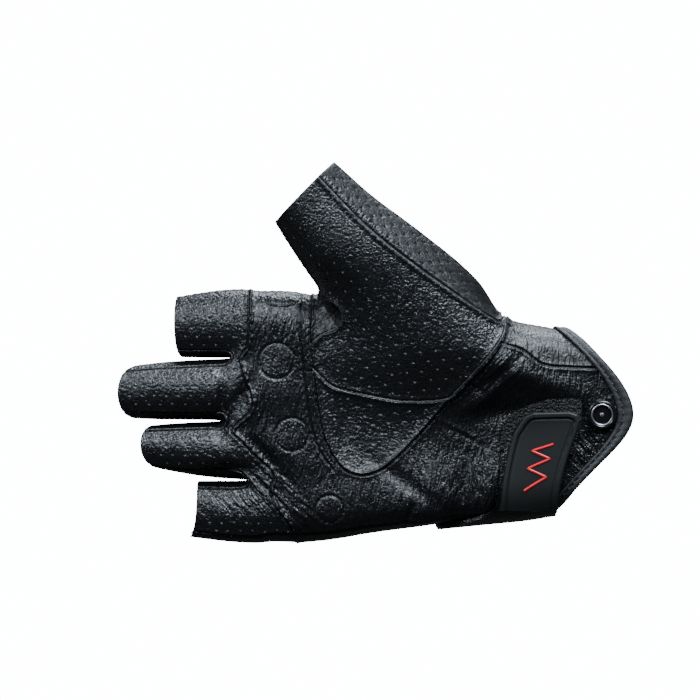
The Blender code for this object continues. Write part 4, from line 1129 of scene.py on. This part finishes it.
def stitch_row(line, offset=0.0, length=STITCH, pitch=STITCH_PITCH * MM, radius=THREAD, tree=None):
    """Points and faces of the stitches along a line, set off sideways on the surface."""
    line = np.asarray(line)
    walked = walked_along(line)
    points, faces = [], []
    tree = tree or laid
    for middle in np.arange(pitch * 0.7, walked[-1] - pitch * 0.4, pitch):
        ends = [
            np.array([np.interp(middle + half, walked, line[:, k]) for k in range(3)])
            for half in (-length / 2, length / 2)
        ]
        centre = (ends[0] + ends[1]) / 2
        along = ends[1] - ends[0]
        if np.linalg.norm(along) < 1e-6:
            continue
        along /= np.linalg.norm(along)
        hit, normal, _, _ = tree.find_nearest(Vector(centre))
        normal = np.array(normal)
        side = np.cross(along, normal)
        side /= np.linalg.norm(side)
        hit, normal, _, _ = tree.find_nearest(Vector(centre + side * offset))
        hit, normal = np.array(hit), np.array(normal)
        along -= normal * along.dot(normal)
        along /= np.linalg.norm(along)
        side = np.cross(along, normal)
        base = len(points)
        for share, swell, lift in CAPSULE_RINGS:
            for n in range(CAPSULE_SIDES):
                turn = 2 * math.pi * n / CAPSULE_SIDES
                flat = side * math.cos(turn) + normal * math.sin(turn)
                points.append(hit + along * share * length + (flat * swell + normal * lift) * radius)
        for ring in range(len(CAPSULE_RINGS) - 1):
            for n in range(CAPSULE_SIDES):
                m = (n + 1) % CAPSULE_SIDES
                a = base + ring * CAPSULE_SIDES
                faces.append((a + n, a + m, a + m + CAPSULE_SIDES, a + n + CAPSULE_SIDES))
    return points, faces


thread = Finish("waxed_thread", Roughness=0.38, Base_Color=rgba(0.007, 0.0075, 0.008))
thread.bump(thread.noise(6000.0), 0.00003)


def add_stitches(name, rows_of_stitches):
    points, faces = [], []
    for row_points, row_faces in rows_of_stitches:
        faces += [tuple(i + len(points) for i in face) for face in row_faces]
        points += row_points
    on_glove(place_object(name, np.array(points), faces, thread.material))


pad_rings = []
for pad in PADS:
    turns = np.linspace(0.0, 2 * math.pi, 80)
    ring = np.stack([
        -pad.reach * PALM_LENGTH + np.cos(turns) * pad.radius * PAD_RIM * MM,
        pad.height * PALM_WIDTH + np.sin(turns) * pad.radius * PAD_RIM * MM / pad.squash,
    ], 1)
    pad_rings.append(laid_on_palm(ring))
outer_row = max(
    (stitch_row(ridge_line, offset) for offset in (RIDGE_ROW_AT, -RIDGE_ROW_AT)),
    key=lambda row: np.mean(row[0], axis=0)[2],
)
add_stitches("seam_stitches", [
    stitch_row(seam_points["finger"], 0.0012, radius=FINGER_THREAD),
    stitch_row(seam_points["finger"], -0.0012, radius=FINGER_THREAD),
    stitch_row(seam_points["knuckle"], 0.0012), stitch_row(seam_points["knuckle_row"], 0.0010),
    stitch_row(seam_points["tongue"], 0.0013), stitch_row(seam_points["heel_row"], 0.0012),
    stitch_row(seam_points["gusset"], 0.0010), outer_row,
    *(stitch_row(ring, *PAD_STITCH) for ring in pad_rings),
])

# Rolled edges
# On the lapped seams the upper panel's edge is turned under, which leaves a thin roll of leather; its
# lighter colour is a painted highlight line along it. It lies on the seam's lower side, or on the seam
# where its offset is 0.
Roll = namedtuple("Roll", "line offset radius sink")
ROLLS = (
    Roll(ridge_line, 0.80, 0.46, 0.02), Roll(seam_points["thenar"], 0.45, 0.28, 0.06),
    Roll(seam_points["heel"], 0.0, 0.28, 0.06), Roll(seam_points["gusset"], 0.0, 0.32, 0.02),
)
ROLL_SPACING = 0.6


def offset_on_leather(line, offset, lift):
    """A line moved sideways over the leather and lifted off it, in millimetres."""
    moved = []
    for point, along in zip(line, np.gradient(line, axis=0)):
        hit, normal, _, _ = laid.find_nearest(Vector(point))
        side = Vector(along).cross(normal).normalized()
        hit, normal, _, _ = laid.find_nearest(Vector(point) + side * offset * MM)
        moved.append(np.array(hit + normal * lift * MM))
    return np.array(moved)


def evened(line, spacing):
    """A line with its bends softened and its points at an even spacing, in millimetres."""
    walked = walked_along(line)
    spots = np.arange(0.0, walked[-1], spacing * MM)
    even = np.stack([np.interp(spots, walked, line[:, k]) for k in range(3)], 1)
    for _ in range(6):
        even[1:-1] = (even[:-2] + 2.0 * even[1:-1] + even[2:]) / 4.0
    return even


def round_bars(name, bars, resolution, material):
    """Round bars along lines, each given with its radius, made one mesh."""
    made = []
    for places, radius in bars:
        data = bpy.data.curves.new(name, "CURVE")
        data.dimensions = "3D"
        data.bevel_depth = radius
        data.bevel_resolution = resolution
        data.use_fill_caps = True
        spline = data.splines.new("POLY")
        spline.points.add(len(places) - 1)
        for knot, place in zip(spline.points, places):
            knot.co = (*place, 1.0)
        made.append(bpy.data.objects.new(name, data))
        bpy.context.scene.collection.objects.link(made[-1])
    select_only(made[-1])
    for piece in made:
        piece.select_set(True)
    bpy.ops.object.convert(target="MESH")
    if len(made) > 1:
        bpy.ops.object.join()
    joined = bpy.context.object
    joined.name = name
    joined.data.materials.clear()
    joined.data.materials.append(material)
    bpy.ops.object.shade_smooth()
    return joined


roll_bars = []
for roll in ROLLS:
    middle = evened(roll.line, ROLL_SPACING)
    sides = (offset_on_leather(middle, way * roll.offset, -roll.sink) for way in (1.0, -1.0))
    lower = min(sides, key=lambda line: line[:, 2].mean())
    roll_bars.append((evened(lower, ROLL_SPACING), roll.radius * MM))
# Painted highlight: the roll's base colour is several times lighter than the leather's, which paints the
# bright line along each rolled edge.
roll_painted_highlight = Finish("rolled_edge_painted_highlight", Roughness=0.30, Base_Color=rgba(0.030, 0.032, 0.036))
roll_painted_highlight.bump(roll_painted_highlight.noise(1500.0, 3.0), 0.00010)
on_glove(round_bars("rolled_edges", roll_bars, 2, roll_painted_highlight.material))

# Cuff binding
# A matt band folded over the wrist edge and sewn through, a little puffy between its stitches.
BINDING_SECTION = (
    (-4.2, 0.25), (-4.15, 0.80), (-3.6, 1.10), (-2.9, 1.05), (-2.3, 0.80), (-1.7, 1.10), (-0.8, 1.30),
    (0.2, 1.25), (0.9, 0.90), (1.25, 0.20), (1.30, -0.60), (1.10, -1.50), (0.4, -2.15), (-0.8, -2.45),
    (-2.4, -2.40), (-4.2, -2.25), (-4.2, -1.65), (-1.0, -1.75), (0.3, -1.2), (0.3, -0.2), (-1.0, 0.25),
)
BINDING_PUFF = 0.03
BINDING_ROW_IN, BINDING_ROW_UP = -2.3, 0.9
BINDING_STITCH = (0.0, 0.0018, 0.0027, 0.00024)
CUFF_PAST = -0.03
cuff_edges = [
    edge for edge in open_edges(medium.faces) if medium.points[edge[0], 0] > CUFF_PAST
]
following = {int(a): int(b) for a, b in cuff_edges}
cuff = [next(iter(following))]
while following[cuff[-1]] != cuff[0]:
    cuff.append(following[cuff[-1]])
cuff_ways = rim_way(medium, medium.points)
cuff_points = medium.points[cuff]
walked = walked_along(cuff_points)
points, faces = [], []
sides = len(BINDING_SECTION)
for n, i in enumerate(cuff):
    puff = 1.0 + BINDING_PUFF * math.cos(2 * math.pi * walked[n] / MM / STITCH_PITCH)
    for out, up in BINDING_SECTION:
        lift = up * puff if up > 0.3 else up
        points.append(cuff_points[n] + (cuff_ways[i] * out + medium.normals[i] * lift) * MM)
for n in range(len(cuff)):
    m = (n + 1) % len(cuff)
    for s in range(sides):
        t = (s + 1) % sides
        faces.append((n * sides + s, n * sides + t, m * sides + t, m * sides + s))
binding = Finish("binding_fabric", Roughness=0.52)
binding.drive(
    "Base Color",
    binding.blend(binding.noise(1400.0, 3.0), rgba(0.005, 0.0052, 0.006), rgba(0.011, 0.012, 0.014)),
)
binding.bump(binding.noise(3800.0, 2.0) + binding.cells(2600.0) * 0.6, 0.00012)


def face_outwards():
    """Turns the faces of the active object out."""
    bpy.ops.object.mode_set(mode="EDIT")
    bpy.ops.mesh.select_all(action="SELECT")
    bpy.ops.mesh.normals_make_consistent(inside=False)
    bpy.ops.object.mode_set(mode="OBJECT")


made = place_object("cuff_binding_band", np.array(points), faces, binding.material, 50)
face_outwards()
on_glove(made, "cuff_binding")
binding_tree = BVHTree.FromPolygons([tuple(p) for p in points], faces)
stitch_line = np.array([
    cuff_points[n] + (cuff_ways[i] * BINDING_ROW_IN + medium.normals[i] * BINDING_ROW_UP) * MM
    for n, i in enumerate(cuff)
])
add_stitches("binding_stitches", [stitch_row(stitch_line, *BINDING_STITCH, binding_tree)])

# Wrist strap
# A leather strap that comes round the little finger side from the back, over a loop pad that is
# sewn to the palm. Its rows look out from the middle of the wrist: turn 0 out of the palm, 90 at
# the little finger side.
SEAT = 0.5
LOOP_PAD_THICKNESS, STRAP_THICKNESS, LABEL_THICKNESS = 0.9, 1.5, 2.0
Row = namedtuple("Row", "turn left right left_lift right_lift")
ON_LEATHER = SEAT
ON_BINDING = 1.8
ON_LOOP = ON_LEATHER + LOOP_PAD_THICKNESS + SEAT
ON_STRAP = ON_LOOP + STRAP_THICKNESS + SEAT
LOOP_PAD = (
    Row(-21, 0.150, 0.066, ON_LEATHER, ON_LEATHER), Row(-17, 0.200, 0.060, ON_LEATHER, ON_LEATHER),
    Row(-10, 0.250, 0.060, ON_LEATHER, ON_LEATHER), Row(0, 0.276, 0.062, ON_LEATHER, ON_LEATHER),
    Row(14, 0.285, 0.072, ON_LEATHER, ON_LEATHER), Row(30, 0.290, 0.086, ON_LEATHER, ON_LEATHER),
)
STRAP = (
    Row(-5, 0.214, 0.094, ON_LOOP, ON_LOOP), Row(0, 0.240, 0.082, ON_LOOP, ON_LOOP),
    Row(10, 0.260, 0.090, ON_LOOP, ON_LOOP), Row(28, 0.276, 0.104, ON_LOOP, ON_LOOP),
    Row(40, 0.286, 0.116, ON_LOOP, ON_LOOP), Row(52, 0.294, 0.128, ON_LOOP, ON_LOOP),
    Row(60, 0.305, 0.132, ON_LOOP, ON_LOOP), Row(67, 0.350, 0.132, ON_LEATHER, ON_BINDING),
    Row(73, 0.400, 0.132, ON_LEATHER, ON_BINDING), Row(79, 0.436, 0.132, ON_LEATHER, ON_BINDING),
    Row(90, 0.462, 0.132, ON_LEATHER, ON_BINDING), Row(102, 0.470, 0.132, ON_LEATHER, ON_BINDING),
    Row(115, 0.470, 0.134, ON_LEATHER, ON_BINDING), Row(130, 0.462, 0.138, ON_LEATHER, ON_BINDING),
    Row(148, 0.450, 0.142, ON_LEATHER, ON_LEATHER), Row(166, 0.440, 0.146, ON_LEATHER, ON_LEATHER),
    Row(182, 0.430, 0.150, ON_LEATHER, ON_LEATHER),
)
LABEL = (
    Row(-9, 0.196, 0.096, ON_STRAP, ON_STRAP), Row(-6, 0.216, 0.072, ON_STRAP, ON_STRAP),
    Row(0, 0.230, 0.064, ON_STRAP, ON_STRAP), Row(12, 0.250, 0.075, ON_STRAP, ON_STRAP),
    Row(24, 0.260, 0.090, ON_STRAP, ON_STRAP), Row(38, 0.272, 0.108, ON_STRAP, ON_STRAP),
    Row(50, 0.284, 0.124, ON_STRAP, ON_STRAP), Row(58, 0.292, 0.132, ON_STRAP, ON_STRAP),
)
smooth_tree = BVHTree.FromPolygons(coarse.points.tolist(), coarse.faces.tolist())


def round_wrist(turn_deg, reach, lift):
    """A point above the leather, in millimetres of lift, seen from the wrist's middle line."""
    turn = math.radians(turn_deg)
    start = Vector((-reach * PALM_LENGTH, 0.0, 0.0))
    hit, normal, _, _ = smooth_tree.ray_cast(start, Vector((0.0, -math.cos(turn), -math.sin(turn))))
    outward = (hit - start).normalized()
    if normal.dot(outward) < 0.0:
        normal = -normal
    return np.array(hit + normal.lerp(outward, 0.5).normalized() * lift * MM)


def band_grid(rows, turn_step, steps):
    """Points of a band's lower face, row by row, following the rows of its table."""
    table = np.array(rows, float)
    turns = np.arange(table[0, 0], table[-1, 0] + turn_step / 2, turn_step)
    grid = []
    for turn in turns:
        left, right, left_lift, right_lift = (
            np.interp(turn, table[:, 0], table[:, k]) for k in (1, 2, 3, 4)
        )
        grid.append([
            round_wrist(turn, mix(left, right, s), mix(left_lift, right_lift, s))
            for s in np.linspace(0.0, 1.0, steps + 1)
        ])
    return np.array(grid)


def smoothed(grid, times):
    """Evens a grid of points without moving its edge."""
    for _ in range(times):
        inner = (grid[:-2, 1:-1] + grid[2:, 1:-1] + grid[1:-1, :-2] + grid[1:-1, 2:]) / 4
        grid[1:-1, 1:-1] = inner
    return grid


def grid_faces(rows_count, columns_count):
    return [
        (r * columns_count + c, r * columns_count + c + 1,
         (r + 1) * columns_count + c + 1, (r + 1) * columns_count + c)
        for r in range(rows_count - 1) for c in range(columns_count - 1)
    ]


def band(name, grid, thickness, material, bevel, node):
    """A band with thickness outwards and rounded edges."""
    made = place_object(name, grid.reshape(-1, 3), grid_faces(*grid.shape[:2]), material)
    if made.data.polygons[0].normal.y > 0.0:
        made.data.flip_normals()
    select_only(made)
    thicken = made.modifiers.new("thickness", "SOLIDIFY")
    thicken.thickness = thickness * MM
    thicken.offset = 1.0
    rounding = made.modifiers.new("edges", "BEVEL")
    rounding.width = bevel * MM
    rounding.segments = 3
    rounding.limit_method = "ANGLE"
    rounding.angle_limit = math.radians(50)
    for modifier in ("thickness", "edges"):
        bpy.ops.object.modifier_apply(modifier=modifier)
    bpy.ops.object.shade_smooth_by_angle(angle=math.radians(40))
    on_glove(made, node)
    return made


loops = Finish("loop_fabric", Roughness=0.50, Specular_IOR_Level=0.3)
loops.drive(
    "Base Color",
    loops.blend((loops.cells(1500.0) * 1.6).clamp(), rgba(0.006, 0.006, 0.0065), rgba(0.001, 0.001, 0.001)),
)
loops.bump(loops.cells(1300.0) * -1.0 + loops.noise(3000.0, 3.0) * 0.7, 0.0007)
band(
    "strap_loop_pad_cloth", smoothed(band_grid(LOOP_PAD, 1.0, 50), 3), LOOP_PAD_THICKNESS,
    loops.material, 0.3, "strap_loop_pad",
)
strap_grid = smoothed(band_grid(STRAP, 1.5, 60), 12)
strap = band(
    "wrist_strap_leather", strap_grid, STRAP_THICKNESS, smooth_leather, 0.35, "wrist_strap",
)
strap_tree = BVHTree.FromPolygons(
    [tuple(v.co) for v in strap.data.vertices], [tuple(p.vertices) for p in strap.data.polygons]
)
STRAP_STITCH = (0.0, 0.0018, 0.0026, 0.00022)
ROW_COLUMN = 3
add_stitches("strap_stitches", [
    stitch_row(strap_grid[:, column], *STRAP_STITCH, strap_tree)
    for column in (ROW_COLUMN, -1 - ROW_COLUMN)
])

# Rubber label
# A moulded rubber patch on the strap, with a raised rim and a step inside it. Its face carries
# a plain raised zigzag line in red.
label_grid = smoothed(band_grid(LABEL, 0.5, 90), 20)
rim_lines = (label_grid[:, 0], label_grid[:, -1], label_grid[0])
edge_tree = tree_of([
    mix(a, b, share)
    for line in rim_lines for a, b in zip(line, line[1:]) for share in (0.0, 0.25, 0.5, 0.75)
])
along = np.gradient(label_grid, axis=0)
sideways = np.gradient(label_grid, axis=1)
label_normals = np.cross(along, sideways)
label_normals /= np.linalg.norm(label_normals, axis=2, keepdims=True)
if label_normals[len(label_grid) // 2, len(label_grid[0]) // 2, 1] > 0.0:
    label_normals = -label_normals
edge_distance = np.array([[edge_tree.find(p)[2] / MM for p in row] for row in label_grid])


def rounded_step(distance, edge, width):
    share = np.clip((distance - edge) / width, 0.0, 1.0)
    return share * share * (3.0 - 2.0 * share)


EDGE_HEIGHT, EDGE_ROUND = 0.55, 0.5
RIM_STEP, RIM_AT, RIM_SLOPE = 0.90, 1.6, 0.45
FACE_STEP, FACE_AT, FACE_SLOPE = 0.15, 2.5, 0.35
rounded = np.sqrt(np.clip(edge_distance / EDGE_ROUND, 0.0, 1.0))
top = LABEL_THICKNESS * (EDGE_HEIGHT + (1.0 - EDGE_HEIGHT) * rounded)
top -= RIM_STEP * rounded_step(edge_distance, RIM_AT, RIM_SLOPE)
top += FACE_STEP * rounded_step(edge_distance, FACE_AT, FACE_SLOPE)
label_top = label_grid + label_normals * top[..., None] * MM
rows_count, columns_count = label_grid.shape[:2]
points = np.vstack([label_top.reshape(-1, 3), label_grid.reshape(-1, 3)])
upper = grid_faces(rows_count, columns_count)
shift = rows_count * columns_count
border = list(range(columns_count))
border += [r * columns_count + columns_count - 1 for r in range(1, rows_count)]
border += [(rows_count - 1) * columns_count + c for c in range(columns_count - 2, -1, -1)]
border += [r * columns_count for r in range(rows_count - 2, 0, -1)]
faces = upper + [tuple(i + shift for i in reversed(face)) for face in upper]
faces += [(b, a, a + shift, b + shift) for a, b in zip(border, border[1:] + border[:1])]
rubber = Finish(
    "label_rubber", Roughness=0.50, Base_Color=rgba(0.0058, 0.0068, 0.0068), Specular_IOR_Level=0.35
)
rubber.bump(rubber.noise(2600.0, 2.0), 0.00004)
made = place_object("strap_label_rubber", points, faces, rubber.material, 50)
face_outwards()
on_glove(made, "strap_label")
label_tree = BVHTree.FromPolygons([tuple(p) for p in label_top.reshape(-1, 3)], upper)
MARK = ((20, 0.140), (26, 0.200), (31, 0.150), (38, 0.212), (42, 0.160), (49, 0.222))
MARK_RADIUS, MARK_STEPS, ABOVE_LABEL = 0.00042, 12, 2.0
zigzag = [
    mix(np.array(a), np.array(b), share)
    for a, b in zip(MARK, MARK[1:]) for share in np.linspace(0.0, 1.0, MARK_STEPS, endpoint=False)
]
mark_places = [
    label_tree.find_nearest(Vector(round_wrist(turn, reach, ON_STRAP + ABOVE_LABEL)))[0]
    for turn, reach in (*zigzag, MARK[-1])
]
red = Finish("mark_rubber", Roughness=0.40, Base_Color=rgba(0.60, 0.006, 0.014))
mark = round_bars("label_zigzag", [(mark_places, MARK_RADIUS)], 3, red.material)
on_glove(mark, "label_mark")

# Snap fastener
# The socket half of a snap on the cuff's point: a black enamelled collar round a bright ring,
# with a dark well and a small stud in it.
SNAP_PLACE, SNAP_LIFT, SNAP_EDGE = (0.003, 0.024), 0.4, 0.2
x, z = place_on(SNAP_PLACE)
hit, normal, _, _ = smooth_tree.ray_cast(Vector((x, -0.1, z)), Vector((0, 1, 0)))
if normal.y > 0.0:
    normal = -normal
turned_to = normal.to_track_quat("Z", "Y")
enamel = Finish("snap_enamel", Roughness=0.22, Base_Color=rgba(0.004, 0.004, 0.0045))
nickel = Finish("snap_metal", Roughness=0.34, Metallic=1.0, Base_Color=rgba(0.42, 0.43, 0.45))
nickel.bump(nickel.noise(2500.0), 0.00002)
Ring = namedtuple("Ring", "node main tube height finish")
SNAP_RINGS = (
    Ring("snap_collar", 4.25, 0.72, 1.30, enamel), Ring("snap_socket", 3.50, 0.34, 1.62, nickel),
    Ring("snap_socket", 2.00, 0.16, 0.74, enamel),
)
Disc = namedtuple("Disc", "node radius bottom top finish")
SNAP_DISCS = (
    Disc("snap_collar", 4.90, 0.05, 1.00, enamel), Disc("snap_socket", 3.40, 0.10, 0.70, enamel),
    Disc("snap_socket", 0.75, 0.60, 1.05, nickel),
)
snap_pieces = {"snap_collar": [], "snap_socket": []}
for ring in SNAP_RINGS:
    bpy.ops.object.select_all(action="DESELECT")
    bpy.ops.mesh.primitive_torus_add(
        major_segments=72, minor_segments=18, major_radius=ring.main * MM, minor_radius=ring.tube * MM,
        location=(0, 0, ring.height * MM),
    )
    bpy.context.object.data.materials.append(ring.finish.material)
    snap_pieces[ring.node].append(bpy.context.object)
for disc in SNAP_DISCS:
    bpy.ops.object.select_all(action="DESELECT")
    bpy.ops.mesh.primitive_cylinder_add(
        vertices=64, radius=disc.radius * MM, depth=(disc.top - disc.bottom) * MM,
        location=(0, 0, (disc.top + disc.bottom) / 2 * MM),
    )
    rounding = bpy.context.object.modifiers.new("edge", "BEVEL")
    rounding.width = SNAP_EDGE * MM
    rounding.segments = 3
    rounding.limit_method = "ANGLE"
    bpy.ops.object.modifier_apply(modifier="edge")
    bpy.context.object.data.materials.append(disc.finish.material)
    snap_pieces[disc.node].append(bpy.context.object)
for node, slot in (("snap_collar", "snap_enamel"), ("snap_socket", "snap_metal")):
    select_only(snap_pieces[node][0])
    for piece in snap_pieces[node]:
        piece.select_set(True)
    bpy.ops.object.join()
    made = bpy.context.object
    made.name = node + "_metal"
    bpy.ops.object.shade_smooth_by_angle(angle=math.radians(40))
    bpy.ops.object.transform_apply(location=True, rotation=True, scale=True)
    made.rotation_mode = "QUATERNION"
    made.rotation_quaternion = turned_to
    made.location = hit + normal * SNAP_LIFT * MM
    bpy.ops.object.transform_apply(location=True, rotation=True, scale=True)
    on_glove(made, node)

# Studio
# A plain pale floor under a plain white surround, a large soft light above, and weak ones in
# front, at the side and behind.
FLOOR_SIZE, FLOOR_HEIGHT = 3.4, -0.55
bpy.ops.object.select_all(action="DESELECT")
bpy.ops.mesh.primitive_plane_add(size=FLOOR_SIZE, location=(0, 0, FLOOR_HEIGHT))
floor = bpy.context.object
floor.name = "studio_floor"
paper = Finish("studio_paper", Roughness=0.9, Base_Color=rgba(0.80, 0.80, 0.80))
floor.data.materials.append(paper.material)
floor.visible_glossy = False


GLOVE_MIDDLE = (-0.08, 0.0, 0.02)
DAYLIGHT = (0.82, 0.91, 1.0)


def soft_light(name, place, size, power, spread_deg):
    data = bpy.data.lights.new(name, "AREA")
    data.shape = "RECTANGLE"
    data.size, data.size_y = size
    data.energy = power
    data.color = DAYLIGHT
    data.spread = math.radians(spread_deg)
    lamp = bpy.data.objects.new(name, data)
    bpy.context.scene.collection.objects.link(lamp)
    lamp.location = place
    lamp.rotation_euler = (Vector(GLOVE_MIDDLE) - Vector(place)).to_track_quat("-Z", "Y").to_euler()


soft_light("key_light", (0.28, -0.42, 1.05), (0.80, 0.45), 15.0, 120)
soft_light("front_light", (0.10, -1.05, 0.90), (0.50, 0.30), 4.2, 100)
soft_light("side_light", (-0.85, -0.65, 0.62), (0.40, 0.40), 3.2, 100)
soft_light("back_light", (0.10, 0.80, 1.00), (0.60, 0.50), 4.0, 100)
# The white that the camera sees, and the weak even fill that the glove gets from it
SURROUND, FILL = 16.0, 0.040
world = bpy.data.worlds.new("studio")
bpy.context.scene.world = world
world.use_nodes = True
surround = world.node_tree
background = surround.nodes["Background"]
background.inputs["Color"].default_value = rgba(0.93, 0.97, 1.0)
seen = surround.nodes.new("ShaderNodeLightPath")
level = surround.nodes.new("ShaderNodeMapRange")
level.inputs["To Min"].default_value = FILL
level.inputs["To Max"].default_value = SURROUND
surround.links.new(seen.outputs["Is Camera Ray"], level.inputs["Value"])
surround.links.new(level.outputs["Result"], background.inputs["Strength"])

CAMERA_LENS, SENSOR_WIDTH = 240.0, 36.0
FRAME_WIDTH = 0.2415
camera_data = bpy.data.cameras.new("camera")
camera_data.lens = CAMERA_LENS
camera_data.sensor_width = SENSOR_WIDTH
camera = bpy.data.objects.new("camera", camera_data)
bpy.context.scene.collection.objects.link(camera)
camera.location = (-0.08625, -FRAME_WIDTH * CAMERA_LENS / SENSOR_WIDTH, 0.02415)
camera.rotation_euler = (math.pi / 2, 0.0, 0.0)
bpy.context.scene.camera = camera
